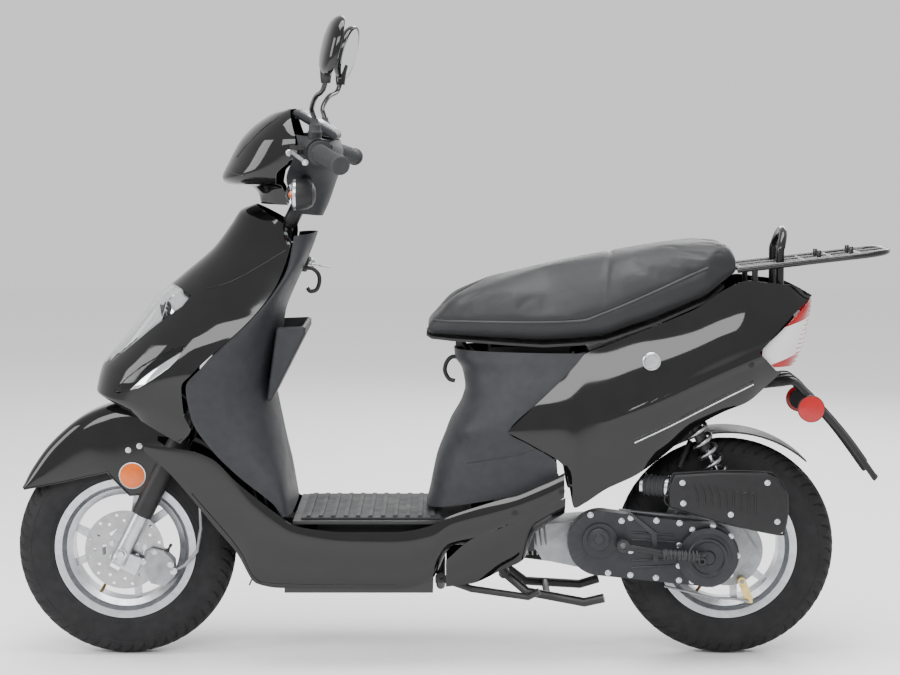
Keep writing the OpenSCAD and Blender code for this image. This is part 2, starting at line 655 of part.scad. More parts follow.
// Crankcase, finned cylinder and gearbox in bare aluminium
module crankcase() {
    color("#9a9c9f") difference() {
        union() {
            side_cut(-54, 54) polygon([[-168, 216], [-160, 246], [-190, 268], [-296, 276], [-322, 240],
                [-318, 168], [-180, 196]]);
            cross(swing_at, 14, -56, 56);
            translate([-182, -54, 218]) cube([36, 108, 24]);
            side_cut(60, 74) polygon([[-330, 170], [-470, 150], [-560, 176], [-604, 216], [-574, 262], [-480, 286],
                [-330, 300]]);
            side_cut(53.9, 60.1) polygon([[-240, 190], [-345, 172], [-345, 272], [-240, 262]]);
            cross([rear_x, 0, axle_z], 8, -50, 62);
            cross([rear_x, 0, axle_z], 70, 50, 61);
            cross([rear_x, 0, axle_z], 14, -60, -44);
            cross(brake_arm_at, 4, 58, 84);
            pipe([[-586, 81, 118], [-560, 82, 124], [-516, 84, 126], [-420, 76, 148]], 2.5, 8);
            side_cut(60, 67) polygon([[-520, 262], [-570, 250], [-567, 312], [-546, 312]]);
            cross(shock_foot, 6, 60, 93);
            // Finned cylinder lying forwards under the seat base
            bar([-190, -10, 262], [-96, -10, 300], 34);
            for (i = [0 : 4]) bar([-160 + 13 * i, -8, 274.2 + 5.25 * i], [-155 + 13 * i, -8, 276.2 + 5.25 * i], 44);
        }
        cross(swing_at, 6, -100, 100);
        cross(kick_at, 7.1, 40, 140);
    }
    color("silver") cross(kick_at, 7, 60, 134);
}

// Long cover over the belt drive on the left
module cvt_cover() {
    color("#3a3c40") difference() {
        union() {
            side_cut(74.6, 112) union() {
                translate([-292, 240]) circle(r = 64);
                translate([-500, 216]) circle(r = 62);
                polygon([[-292, 304], [-500, 278], [-500, 154], [-292, 176]]);
            }
            cross([-500, 0, 214], 58, 111.9, 126);
            cross([-290, 0, 246], 34, 111.9, 118);
            cross([-288, 0, 250], 21, 117.9, 124);
            side_cut(111.9, 119) polygon([[-345, 300], [-352, 300], [-400, 262], [-404, 205], [-394, 205], [-390, 258]]);
        }
        side_cut(70, 108.5) union() {
            translate([-292, 240]) circle(r = 60);
            translate([-500, 216]) circle(r = 58);
            polygon([[-292, 300], [-500, 274], [-500, 158], [-292, 180]]);
        }
        cross(kick_at, 7.2, 100, 140);
    }
}

// Air filter box with the bellows and the carburettor it feeds
module air_filter_box() {
    color("#232427") side_cut(104, 152) polygon([[-430, 381], [-610, 384], [-630, 376], [-652, 340], [-650, 270],
        [-636, 262], [-420, 318]]);
    color("#1a1b1c") {
        bar([-375, 84, 352], [-432, 110, 350], 19);
        for (i = [0 : 4]) bar([-380 - 8 * i, 86 + 3.6 * i, 352], [-384 - 8 * i, 88 + 3.6 * i, 352], 22);
    }
    color("#8f9194") {
        translate([-378, 56, 330]) cube([54, 40, 42]);
        bar([-330, 74, 340], [-262, 20, 300], 12);
    }
}

// Exhaust: header under the engine and a silencer on the right
module exhaust() {
    color("#1a1a1b") {
        pipe([[-120, -10, 250], [-128, -60, 190], [-220, -96, 172], [-340, -117, 199]], 11);
        translate([-330, -117.3, 196.3]) rotate([0, -70.5, 0.9]) rotate_extrude() polygon([
            [0, 0], [14, 0], [42, 53], [42, 329], [26, 354], [17, 354], [17, 405], [14, 405], [14, 360], [0, 360]]);
    }
}

// Inner mudguard over the rear tyre, bolted to the engine unit
module rear_hugger() {
    color("#17181a") side_cut(-56, 56) difference() {
        translate([rear_x, axle_z]) circle(r = 236);
        translate([rear_x, axle_z]) circle(r = 232.5);
        translate([rear_x - 300, -100]) square([700, 480]);
        translate([rear_x + 128, 300]) square([300, 400]);
        translate([rear_x - 400, 300]) square([246, 400]);
    }
    color("#17181a") bar([-470, 52, 432], [-445, 88, 384.4], 5);
}

// Kick-start lever
module kick_lever() {
    color("#2d2e30") difference() {
        union() {
            cross(kick_at, 14, 127, 146);
            pipe([[-340, 139, 238], [-392, 140, 230], [-482, 142, 212]], 7);
            cross([-486, 0, 211], 9, 134, 150);
        }
        cross(kick_at, 7 + run, 100, 150);
        translate([-486, 142, 150]) cylinder(h = 100, r = 3 + run);
    }
}

// Folding rubber-ribbed kick pedal
module kick_pedal() {
    color("#3a3b3d") {
        translate([-486, 142, 196]) cylinder(h = 30, r = 3);
        translate([-486, 142, 220.4]) cylinder(h = 6, r = 9);
        bar([-486, 146, 224], [-478, 160, 224], 3.5);
        bar([-480, 160, 222], [-408, 160, 230], 7);
        for (i = [0 : 6]) bar([-470 + 9 * i, 160, 222.8 + i], [-466 + 9 * i, 160, 223.2 + i], 9);
    }
}

shock_len = norm(shock_foot - shock_top);
module shock_frame() {
    d = shock_foot - shock_top;
    translate(shock_top) rotate([0, 180 - acos(-d.z / shock_len) * -1, 0]) children();
}
// Upper half of the shock absorber
module shock_body() {
    color("#202123") shock_frame() difference() {
        union() {
            rotate([90, 0, 0]) cylinder(h = 20, r = 12, center = true);
            translate([0, 0, 8]) cylinder(h = 20, r = 9);
            translate([0, 0, 26]) cylinder(h = 6, r = 22);
            translate([0, 0, 31]) cylinder(h = 94, r = 12);
        }
        rotate([90, 0, 0]) cylinder(h = 40, r = 6 + run, center = true);
        translate([0, 0, 38]) cylinder(h = 100, r = 5 + run);
    }
}
// Lower half: rod, spring seat and lower eye
module shock_rod() {
    color("silver") shock_frame() difference() {
        union() {
            translate([0, 0, 105]) cylinder(h = shock_len - 112, r = 5);
            translate([0, 0, shock_len - 40]) cylinder(h = 6, r = 22);
            translate([0, 0, shock_len - 36]) cylinder(h = 30, r = 9);
            translate([0, 0, shock_len]) rotate([90, 0, 0]) cylinder(h = 18, r = 13, center = true);
        }
        translate([0, 0, shock_len]) rotate([90, 0, 0]) cylinder(h = 40, r = 8.5, center = true);
    }
}
// Coil spring, kept as the sleeve that its turns fill
module shock_spring() {
    color("dimgray") shock_frame() difference() {
        translate([0, 0, 32.4]) cylinder(h = shock_len - 72.8, r = 20);
        translate([0, 0, 20]) cylinder(h = shock_len, r = 13);
    }
}

brake_arm_at = [-572, 0, 158];
// Cam arm of the rear drum brake with its return spring
module rear_brake_arm() {
    color("goldenrod") difference() {
        union() {
            side_cut(74.4, 76.4) polygon([[-564, 158], [-580, 160], [-594, 124], [-594, 114], [-582, 114]]);
            cross(brake_arm_at, 8, 66, 82);
        }
        cross(brake_arm_at, 4 + run, 60, 90);
    }
}

// ---- stands ----

// Two-legged centre stand, folded up
module centre_stand() {
    color("#0f0f10") difference() {
        union() {
            both() {
                cross(stand_at, 11, 28, 47);
                pipe([[-105, 37, 168], [-150, 52, 132], [-262, 88, 118], [-300, 94, 128]], 9);
            }
            cross([-190, 0, 127], 7, -64, 64);
        }
        cross(stand_at, 7 + run, -60, 60);
    }
}

// Side stand on the left, folded back
module side_stand() {
    color("#0f0f10") difference() {
        union() {
            prop_frame() translate([0, 0, -7]) cylinder(h = 14, r = 11);
            pipe([prop_at + [-6, 0, 0], [-40, 112, 150], [-150, 122, 136], [-172, 126, 148]], 7);
        }
        prop_frame() translate([0, 0, -20]) cylinder(h = 40, r = 4 + run);
    }
}

// ---- seat ----

seat_top = [[48, 663], [26, 694], [9, 717], [-11, 729], [-100, 748], [-189, 758], [-308, 786], [-417, 812],
    [-516, 830], [-540, 826], [-556, 790], [-556, 764]];
seat_low = [[-530, 744], [-496, 716], [-397, 674], [-298, 640], [-249, 634], [-179, 630], [-100, 634], [38, 642],
    [48, 648]];
module seat_plan(grow = 0) {
    polygon([[52, -70 - grow], [52, 70 + grow], [0, 100 + grow], [-120, 122 + grow], [-330, seat_w + grow],
        [-500, 112 + grow], [-560, 84 + grow], [-560, -84 - grow], [-500, -112 - grow], [-330, -seat_w - grow],
        [-120, -122 - grow], [0, -100 - grow]]);
}
// Padded seat, one soft block
module seat_cushion() {
    color("#2e2f31") intersection() {
        side_cut(-200, 200) polygon(concat(seat_top, seat_low));
        translate([0, 0, 500]) linear_extrude(500) seat_plan();
    }
}
// Pan under the cushion, with the hinge ears at its front
module seat_base() {
    pan = [for (p = seat_low) p - [0, 1]];
    color("#151517") {
        intersection() {
            side_cut(-200, 200) polygon(concat(pan, [for (i = [len(pan) - 1 : -1 : 0]) pan[i] - [0, 5]]));
            translate([0, 0, 500]) linear_extrude(500) seat_plan(-14);
        }
        both() difference() {
            translate([-23, 37, 620]) cube([14, 5, 14]);
            cross(seat_hinge, 4 + run, 30, 50);
        }
    }
}

main_frame();
front_fairing();
lamp_housings();
front_lenses();
leg_shield();
inner_fender();
footboard();
foot_mat();
left_side_skirt();
right_side_skirt();
belly_pan();
seat_base_cover();
left_tail_panel();
right_tail_panel();
rear_lenses();
rear_mudguard();
luggage_rack();
storage_bucket();
fuel_tank();
fuel_cap();
ignition_key();
seat_lock();
handlebar();
headset_cowl();
headset_back();
left_grip();
throttle_grip();
switch_housings();
left_brake_lever();
right_brake_lever();
starter_button();
horn_button();
beam_switch();
indicator_switch();
left_mirror();
right_mirror();
fork_crown();
front_fender();
fork_sliders();
brake_caliper();
front_rim();
front_tyre();
brake_disc();
crankcase();
cvt_cover();
air_filter_box();
exhaust();
rear_hugger();
kick_lever();
kick_pedal();
shock_body();
shock_rod();
shock_spring();
rear_brake_arm();
rear_rim();
rear_tyre();
centre_stand();
side_stand();
seat_cushion();
seat_base();
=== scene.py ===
import math
import bmesh
import bpy
import numpy as np
from mathutils import Matrix, Vector
from mathutils.bvhtree import BVHTree


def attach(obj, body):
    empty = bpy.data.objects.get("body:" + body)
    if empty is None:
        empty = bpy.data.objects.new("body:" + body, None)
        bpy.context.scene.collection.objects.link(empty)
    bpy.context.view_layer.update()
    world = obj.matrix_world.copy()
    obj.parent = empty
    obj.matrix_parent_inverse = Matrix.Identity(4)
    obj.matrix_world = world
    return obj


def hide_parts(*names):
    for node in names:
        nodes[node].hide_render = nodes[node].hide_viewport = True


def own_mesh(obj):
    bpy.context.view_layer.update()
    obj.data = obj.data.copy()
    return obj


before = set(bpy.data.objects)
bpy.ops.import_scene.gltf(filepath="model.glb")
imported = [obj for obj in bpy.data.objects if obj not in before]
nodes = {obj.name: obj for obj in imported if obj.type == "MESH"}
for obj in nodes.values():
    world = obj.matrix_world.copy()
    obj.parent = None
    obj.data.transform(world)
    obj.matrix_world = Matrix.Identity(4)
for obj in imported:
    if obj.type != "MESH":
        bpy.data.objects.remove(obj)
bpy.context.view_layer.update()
mm = 0.001
axle = {"front": 645.0, "rear": -545.0, "height": 216}


# camera, floor and light

view = {"place": (0.0, 4.6, 1.10), "aim": (0.002, 0.0, 0.632), "lens": 93.4}


def setCamera():
    data = bpy.data.cameras.new("studioCamera")
    cam = bpy.data.objects.new("studioCamera", data)
    bpy.context.scene.collection.objects.link(cam)
    cam.location = view["place"]
    way = Vector(view["aim"]) - Vector(view["place"])
    cam.rotation_euler = way.to_track_quat("-Z", "Y").to_euler()
    data.lens = view["lens"]
    data.sensor_width = 36
    data.clip_start = 0.05
    bpy.context.scene.camera = cam


lighting = {"sky": 0.95, "side": 120, "top": 150, "front": 70, "far": 70}


def softBox(name, place, aim, size, power):
    data = bpy.data.lights.new(name, "AREA")
    data.shape = "RECTANGLE"
    data.size, data.size_y = size
    data.energy = power
    lamp = bpy.data.objects.new(name, data)
    bpy.context.scene.collection.objects.link(lamp)
    lamp.location = place
    lamp.rotation_euler = (Vector(aim) - Vector(place)).to_track_quat("-Z", "Y").to_euler()


def setStudio():
    world = bpy.data.worlds.new("studioSky")
    world.use_nodes = True
    bpy.context.scene.world = world
    world.node_tree.nodes["Background"].inputs["Color"].default_value = (1, 1, 1, 1)
    world.node_tree.nodes["Background"].inputs["Strength"].default_value = lighting["sky"]
    softBox("sideBox", (0.6, 3.6, 2.6), (0, 0, 0.6), (3.4, 1.2), lighting["side"])
    softBox("topBox", (-0.2, 0.3, 3.4), (0, 0, 0.5), (3.0, 1.6), lighting["top"])
    softBox("frontBox", (3.4, 1.2, 1.8), (0.3, 0, 0.6), (1.4, 2.0), lighting["front"])
    softBox("farBox", (-1.2, -3.4, 2.2), (0, 0, 0.6), (3.0, 1.4), lighting["far"])
    mesh = bpy.data.meshes.new("studioFloor")
    mesh.from_pydata([(-9, -9, 0), (9, -9, 0), (9, 9, 0), (-9, 9, 0)], [], [(0, 1, 2, 3)])
    floor = bpy.data.objects.new("studioFloor", mesh)
    bpy.context.scene.collection.objects.link(floor)
    floor.data.materials.append(surface("paleFloor", (0.93, 0.93, 0.93), rough=(0.55, 0.65), speckle=0.01,
                                        grainScale=40))


# materials

def surface(name, colour, rough=(0.4, 0.5), metal=0.0, speckle=0.06, grainScale=60.0, bump=0.0, bumpScale=400.0,
            cells=False, coat=0.0, edgeHighlight=0.0, paintedGlow=None, sheen=0.0, clear=0.0, ior=1.5, stretch=(1, 1, 1),
            gleam=0.5):
    found = bpy.data.materials.get(name)
    if found:
        return found
    mat = bpy.data.materials.new(name)
    mat.use_nodes = True
    tree = mat.node_tree
    link = tree.links.new
    shader = tree.nodes["Principled BSDF"]
    shader.inputs["Metallic"].default_value = metal
    shader.inputs["IOR"].default_value = ior
    shader.inputs["Coat Weight"].default_value = coat
    shader.inputs["Coat Roughness"].default_value = 0.04
    shader.inputs["Sheen Weight"].default_value = sheen
    shader.inputs["Transmission Weight"].default_value = clear
    shader.inputs["Specular IOR Level"].default_value = gleam
    # painted glow: emission makes the unlit red and amber lenses, bulbs and reflectors shine as if catching light
    if paintedGlow:
        shader.inputs["Emission Color"].default_value = (*paintedGlow, 1)
        shader.inputs["Emission Strength"].default_value = 0.25
    where = tree.nodes.new("ShaderNodeTexCoord")
    spread = tree.nodes.new("ShaderNodeMapping")
    spread.inputs["Scale"].default_value = stretch
    link(where.outputs["Object"], spread.inputs["Vector"])
    cloud = tree.nodes.new("ShaderNodeTexNoise")
    cloud.inputs["Scale"].default_value = grainScale
    cloud.inputs["Detail"].default_value = 6
    link(spread.outputs["Vector"], cloud.inputs["Vector"])
    tint = tree.nodes.new("ShaderNodeValToRGB")
    low = [c * (1 - speckle * 2) for c in colour]
    high = [min(1, c * (1 + speckle * 2) + speckle * 0.01) for c in colour]
    tint.color_ramp.elements[0].position = 0.3
    tint.color_ramp.elements[1].position = 0.7
    tint.color_ramp.elements[0].color = (*low, 1)
    tint.color_ramp.elements[1].color = (*high, 1)
    link(cloud.outputs["Fac"], tint.inputs["Fac"])
    paint = tint.outputs["Color"]
    # painted edge highlight: convex edges (by pointiness) are mixed toward a lighter grey, standing in for light
    # caught along the edges
    if edgeHighlight:
        edge = tree.nodes.new("ShaderNodeNewGeometry")
        highlightRange = tree.nodes.new("ShaderNodeMapRange")
        highlightRange.inputs["From Min"].default_value = 0.54
        highlightRange.inputs["From Max"].default_value = 0.66
        highlightRange.inputs["To Max"].default_value = edgeHighlight
        link(edge.outputs["Pointiness"], highlightRange.inputs["Value"])
        highlightMix = tree.nodes.new("ShaderNodeMix")
        highlightMix.data_type = "RGBA"
        highlightMix.inputs[7].default_value = (*[min(1, c * 1.6 + 0.12) for c in colour], 1)
        link(highlightRange.outputs["Result"], highlightMix.inputs[0])
        link(paint, highlightMix.inputs[6])
        paint = highlightMix.outputs[2]
    link(paint, shader.inputs["Base Color"])
    smudge = tree.nodes.new("ShaderNodeTexNoise")
    smudge.inputs["Scale"].default_value = grainScale * 0.35
    smudge.inputs["Detail"].default_value = 4
    link(spread.outputs["Vector"], smudge.inputs["Vector"])
    dull = tree.nodes.new("ShaderNodeMapRange")
    dull.inputs["From Min"].default_value = 0.3
    dull.inputs["From Max"].default_value = 0.7
    dull.inputs["To Min"].default_value = rough[0]
    dull.inputs["To Max"].default_value = rough[1]
    link(smudge.outputs["Fac"], dull.inputs["Value"])
    link(dull.outputs["Result"], shader.inputs["Roughness"])
    relief = tree.nodes.new("ShaderNodeBump")
    relief.inputs["Distance"].default_value = 0.0006
    relief.inputs["Strength"].default_value = bump
    if cells:
        pebble = tree.nodes.new("ShaderNodeTexVoronoi")
        pebble.feature = "DISTANCE_TO_EDGE"
        pebble.inputs["Scale"].default_value = bumpScale
        link(spread.outputs["Vector"], pebble.inputs["Vector"])
        link(pebble.outputs["Distance"], relief.inputs["Height"])
    else:
        grain = tree.nodes.new("ShaderNodeTexNoise")
        grain.inputs["Scale"].default_value = bumpScale
        grain.inputs["Detail"].default_value = 3
        link(spread.outputs["Vector"], grain.inputs["Vector"])
        link(grain.outputs["Fac"], relief.inputs["Height"])
    link(relief.outputs["Normal"], shader.inputs["Normal"])
    return mat


tailBand = {"low": 0.380, "high": 0.444, "slant": 0.34, "rear": -0.697}


def tailPaint():
    # red lens with a pale slanted window: the window's edges are planes in the object's own space
    mat = surface("tailLens", (0.30, 0.005, 0.007), rough=(0.05, 0.10), bump=0.3, bumpScale=300, cells=True)
    tree = mat.node_tree
    link = tree.links.new
    shader = tree.nodes["Principled BSDF"]
    red = shader.inputs["Base Color"].links[0].from_socket
    where = tree.nodes.new("ShaderNodeTexCoord")
    split = tree.nodes.new("ShaderNodeSeparateXYZ")
    link(where.outputs["Object"], split.inputs["Vector"])
    slant = tree.nodes.new("ShaderNodeMath")
    slant.operation = "MULTIPLY_ADD"
    slant.inputs[1].default_value = tailBand["slant"]
    link(split.outputs["X"], slant.inputs[0])
    link(split.outputs["Z"], slant.inputs[2])
    tests = []
    for operation, socket, limit in (("GREATER_THAN", slant.outputs[0], tailBand["low"]),
                                     ("LESS_THAN", slant.outputs[0], tailBand["high"]),
                                     ("GREATER_THAN", split.outputs["X"], tailBand["rear"])):
        test = tree.nodes.new("ShaderNodeMath")
        test.operation = operation
        test.inputs[1].default_value = limit
        link(socket, test.inputs[0])
        tests.append(test.outputs[0])
    both = tests[0]
    for other in tests[1:]:
        joined = tree.nodes.new("ShaderNodeMath")
        joined.operation = "MULTIPLY"
        link(both, joined.inputs[0])
        link(other, joined.inputs[1])
        both = joined.outputs[0]
    mix = tree.nodes.new("ShaderNodeMix")
    mix.data_type = "RGBA"
    mix.inputs[7].default_value = (0.62, 0.60, 0.60, 1)
    link(both, mix.inputs[0])
    link(red, mix.inputs[6])
    link(mix.outputs[2], shader.inputs["Base Color"])
    return mat


def makePaints():
    return {
        "tail": tailPaint(),
        # the edgeHighlight values set how strongly each paint's convex edges are painted lighter as a highlight
        "gloss": surface("glossBlackPlastic", (0.003, 0.003, 0.0035), rough=(0.035, 0.08), gleam=0.42, bump=0.015,
                         bumpScale=120,
                         grainScale=25, edgeHighlight=0.03),
        "matt": surface("mattGreyTrim", (0.020, 0.021, 0.024), rough=(0.46, 0.58), gleam=0.26, bump=0.35,
                        bumpScale=1500, edgeHighlight=0.08),
        "black": surface("blackMouldedPlastic", (0.010, 0.010, 0.011), rough=(0.40, 0.54), gleam=0.28, bump=0.25,
                         bumpScale=1100, edgeHighlight=0.08),
        "steel": surface("blackFramePaint", (0.010, 0.010, 0.011), rough=(0.28, 0.42), gleam=0.32, bump=0.1,
                         bumpScale=300, edgeHighlight=0.12),
        "rack": surface("blackGlossPaint", (0.006, 0.006, 0.007), rough=(0.12, 0.2), gleam=0.45, bump=0.05,
                        bumpScale=200, edgeHighlight=0.08),
        "tyre": surface("tyreRubber", (0.012, 0.012, 0.013), rough=(0.64, 0.8), gleam=0.22, bump=0.35,
                        bumpScale=700, speckle=0.1, edgeHighlight=0.1),
        "rubber": surface("gripRubber", (0.022, 0.023, 0.025), rough=(0.55, 0.7), gleam=0.3, bump=0.3,
                          bumpScale=900, edgeHighlight=0.1),
        "mat": surface("floorMatRubber", (0.018, 0.019, 0.021), rough=(0.5, 0.66), gleam=0.25, bump=0.45,
                       bumpScale=800, edgeHighlight=0.15),
        "alloy": surface("satinAlloy", (0.44, 0.45, 0.47), rough=(0.26, 0.38), metal=0.95, bump=0.06, bumpScale=350,
                         grainScale=90, edgeHighlight=0.2),
        "bright": surface("machinedAlloy", (0.52, 0.53, 0.55), rough=(0.18, 0.28), metal=1.0, bump=0.04,
                          bumpScale=500),
        "cast": surface("castAlloy", (0.24, 0.245, 0.255), rough=(0.42, 0.56), metal=0.85, bump=0.5, bumpScale=650,
                        speckle=0.09,
                        edgeHighlight=0.3),
        "cover": surface("darkCoverPaint", (0.020, 0.021, 0.024), rough=(0.30, 0.42), metal=0.3, gleam=0.35,
                         bump=0.15, bumpScale=600,
                         edgeHighlight=0.15),
        "disc": surface("discSteel", (0.34, 0.34, 0.35), rough=(0.24, 0.38), metal=1.0, bump=0.18, bumpScale=500,
                        stretch=(1, 12, 1)),
        "chrome": surface("chromePlate", (0.80, 0.80, 0.82), rough=(0.03, 0.08), metal=1.0, speckle=0.02,
                          bump=0.01),
        "zinc": surface("zincYellow", (0.60, 0.46, 0.18), rough=(0.28, 0.42), metal=0.9, speckle=0.12, bump=0.1,
                        bumpScale=400),
        "exhaust": surface("exhaustBlack", (0.014, 0.0135, 0.013), rough=(0.5, 0.66), gleam=0.3, metal=0.3,
                           bump=0.25, bumpScale=700, edgeHighlight=0.2),
        "vinyl": surface("seatVinyl", (0.013, 0.0135, 0.015), rough=(0.44, 0.56), gleam=0.3, bump=0.55,
                         bumpScale=520, cells=True,
                         sheen=0.08, speckle=0.05, grainScale=30),
        "seam": surface("seamThread", (0.020, 0.021, 0.023), rough=(0.5, 0.6), bump=0.3, bumpScale=1500),
        "lens": surface("clearLens", (0.96, 0.97, 0.98), rough=(0.02, 0.05), clear=1.0, ior=1.3, speckle=0.0,
                        bump=0.03,
                        bumpScale=90),
        # the red and amber lenses carry a painted glow (emission), though no lamp is lit
        "red": surface("redLens", (0.32, 0.005, 0.007), rough=(0.05, 0.10), bump=0.3, bumpScale=300, cells=True,
                       paintedGlow=(0.25, 0.004, 0.004)),
        "amber": surface("amberLens", (0.55, 0.10, 0.006), rough=(0.06, 0.12), bump=0.35, bumpScale=260, cells=True,
                         paintedGlow=(0.4, 0.09, 0.005)),
        "mirror": surface("mirrorGlass", (0.86, 0.88, 0.90), rough=(0.005, 0.02), metal=1.0, speckle=0.0),
        "dial": surface("dialFace", (0.03, 0.03, 0.032), rough=(0.3, 0.4), bump=0.05, bumpScale=900),
        "mark": surface("dialMarks", (0.85, 0.85, 0.82), rough=(0.35, 0.45), bump=0.02),
        "yellow": surface("yellowSwitch", (0.72, 0.42, 0.02), rough=(0.35, 0.45), bump=0.1),
        "brass": surface("brassClamp", (0.62, 0.42, 0.16), rough=(0.25, 0.4), metal=1.0, bump=0.1, bumpScale=400),
        "stripe": surface("silverStripe", (0.62, 0.63, 0.65), rough=(0.25, 0.35), metal=0.4, bump=0.02),
    }


setCamera()
paints = makePaints()
setStudio()
print("stage: studio ready")


# small mesh helpers; outlines are in mm and become metres here

def addPiece(name, verts, faces, body, paint, sharp=32, scale=mm):
    mesh = bpy.data.meshes.new(name)
    mesh.from_pydata([tuple(float(c) * scale for c in v) for v in verts], [],
                     [tuple(int(i) for i in f) for f in faces])
    work = bmesh.new()
    work.from_mesh(mesh)
    bmesh.ops.remove_doubles(work, verts=work.verts, dist=2e-6)
    bmesh.ops.dissolve_degenerate(work, edges=work.edges, dist=1e-6)
    bmesh.ops.recalc_face_normals(work, faces=work.faces)
    work.to_mesh(mesh)
    work.free()
    thing = bpy.data.objects.new(name, mesh)
    bpy.context.scene.collection.objects.link(thing)
    dress(thing, paint, sharp)
    if body:
        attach(thing, body)
    return thing


def dress(thing, paint, sharp=32):
    thing.data.materials.clear()
    thing.data.materials.append(paints[paint])
    thing.data.shade_smooth()
    thing.data.set_sharp_from_angle(angle=math.radians(sharp))


def settle(thing):
    graph = bpy.context.evaluated_depsgraph_get()
    mesh = bpy.data.meshes.new_from_object(thing.evaluated_get(graph))
    thing.modifiers.clear()
    thing.data = mesh
    return thing


def cutWith(thing, others, way="DIFFERENCE"):
    for other in others:
        mod = thing.modifiers.new("cut", "BOOLEAN")
        mod.operation = way
        mod.solver = "EXACT"
        mod.object = other
    return settle(thing)


def rounded(thing, width, steps=3, angle=40):
    mod = thing.modifiers.new("round", "BEVEL")
    mod.width = width * mm
    mod.segments = steps
    mod.limit_method = "ANGLE"
    mod.angle_limit = math.radians(angle)
    settle(thing)
    thing.data.shade_smooth()
    thing.data.set_sharp_from_angle(angle=math.radians(50))
    return thing


def discard(*things):
    for thing in things:
        bpy.data.objects.remove(thing, do_unlink=True)


def flow(rows, per):
    a = np.array(rows, float)
    d = np.diff(a, axis=0)
    t = np.zeros_like(a)
    t[0], t[-1] = d[0], d[-1]
    up, down = d[:-1], d[1:]
    same = up * down > 0
    t[1:-1] = np.where(same, 2 * up * down / np.where(same, up + down, 1), 0)
    out = []
    for i in range(len(a) - 1):
        for k in range(per):
            s = k / per
            h = [2 * s**3 - 3 * s * s + 1, s**3 - 2 * s * s + s, -2 * s**3 + 3 * s * s, s**3 - s * s]
            out.append(h[0] * a[i] + h[1] * t[i] + h[2] * a[i + 1] + h[3] * t[i + 1])
    out.append(a[-1])
    return np.array(out)


def curvePath(points, per=6):
    p = np.array(points, float)
    ext = np.vstack([2 * p[0] - p[1], p, 2 * p[-1] - p[-2]])
    out = []
    for i in range(1, len(ext) - 2):
        for k in range(per):
            s = k / per
            a, b, c, d = ext[i - 1:i + 3]
            out.append(0.5 * (2 * b + (c - a) * s + (2 * a - 5 * b + 4 * c - d) * s * s
                              + (3 * b - a - 3 * c + d) * s**3))
    out.append(p[-1])
    return np.array(out)


def gridFaces(rows, cols, ring=False, start=0):
    last = cols if ring else cols - 1
    return [(start + i * cols + j, start + i * cols + (j + 1) % cols, start + (i + 1) * cols + (j + 1) % cols,
             start + (i + 1) * cols + j) for i in range(rows - 1) for j in range(last)]


def shellOf(outer, inner):
    m, n = outer.shape[:2]
    verts = np.vstack([outer.reshape(-1, 3), inner.reshape(-1, 3)])
    k = m * n
    faces = gridFaces(m, n) + [f[::-1] for f in gridFaces(m, n, start=k)]
    rim = [i * n for i in range(m)] + [(m - 1) * n + j for j in range(1, n)]
    rim += [i * n + n - 1 for i in range(m - 2, -1, -1)] + [j for j in range(n - 2, 0, -1)]
    faces += [(rim[i], rim[(i + 1) % len(rim)], rim[(i + 1) % len(rim)] + k, rim[i] + k) for i in range(len(rim))]
    return verts, faces


def noseGrid(rows, per=5, around=72, inset=0.0):
    a = flow(rows, per)
    way = np.sign(rows[0][2] - rows[0][3])
    s = np.linspace(0, math.pi, around + 1)
    grid = np.zeros((len(a), around + 1, 3))
    for i, (zn, ze, xn, xe, w, sq) in enumerate(a):
        c, f = np.cos(s), np.power(np.sin(s).clip(0), 2 / sq)
        grid[i, :, 0] = xe + (xn - way * inset - xe) * f
        grid[i, :, 1] = (w - inset) * np.sign(c) * np.power(np.abs(c), 2 / sq)
        grid[i, :, 2] = ze + (zn - ze) * f
    return grid


def nosePanel(name, rows, body, paint, per=5, around=72, wall=3.0):
    verts, faces = shellOf(noseGrid(rows, per, around), noseGrid(rows, per, around, wall))
    return addPiece(name, verts, faces, body, paint)


def sideGrid(rows, per=6, up=16, inset=0.0):
    a = flow(rows, per)
    v = np.linspace(0, 1, up + 1)
    grid = np.zeros((len(a), up + 1, 3))
    for i, (x, zl, zh, yl, ym, yh) in enumerate(a):
        grid[i, :, 0] = x
        grid[i, :, 1] = yl * (1 - v) * (1 - 2 * v) + ym * 4 * v * (1 - v) + yh * v * (2 * v - 1) - inset
        grid[i, :, 2] = zl + (zh - zl) * v
    return grid


def mirrored(grid):
    out = np.array(grid)
    out[..., 1] *= -1
    return out


def tubeParts(points, radius, sides=14, start=0):
    p = np.array(points, float)
    r = np.broadcast_to(np.array(radius, float), (len(p),)) if np.ndim(radius) else np.full(len(p), float(radius))
    way = np.gradient(p, axis=0)
    way /= np.linalg.norm(way, axis=1)[:, None]
    side = np.cross([0, 1, 0] if abs(way[0][1]) < 0.9 else [1, 0, 0], way[0])
    verts, angle = [], np.linspace(0, 2 * math.pi, sides, endpoint=False)
    for i in range(len(p)):
        side = side - way[i] * np.dot(side, way[i])
        side /= np.linalg.norm(side)
        up = np.cross(way[i], side)
        verts += [p[i] + r[i] * (math.cos(q) * side + math.sin(q) * up) for q in angle]
    faces = gridFaces(len(p), sides, ring=True, start=start)
    faces += [tuple(start + k for k in range(sides))[::-1], tuple(start + (len(p) - 1) * sides + k
                                                                  for k in range(sides))]
    return verts, faces


def tubes(name, runs, body, paint, sides=14):
    verts, faces = [], []
    for points, radius in runs:
        v, f = tubeParts(points, radius, sides, len(verts))
        verts += v
        faces += f
    return addPiece(name, verts, faces, body, paint, sharp=50)


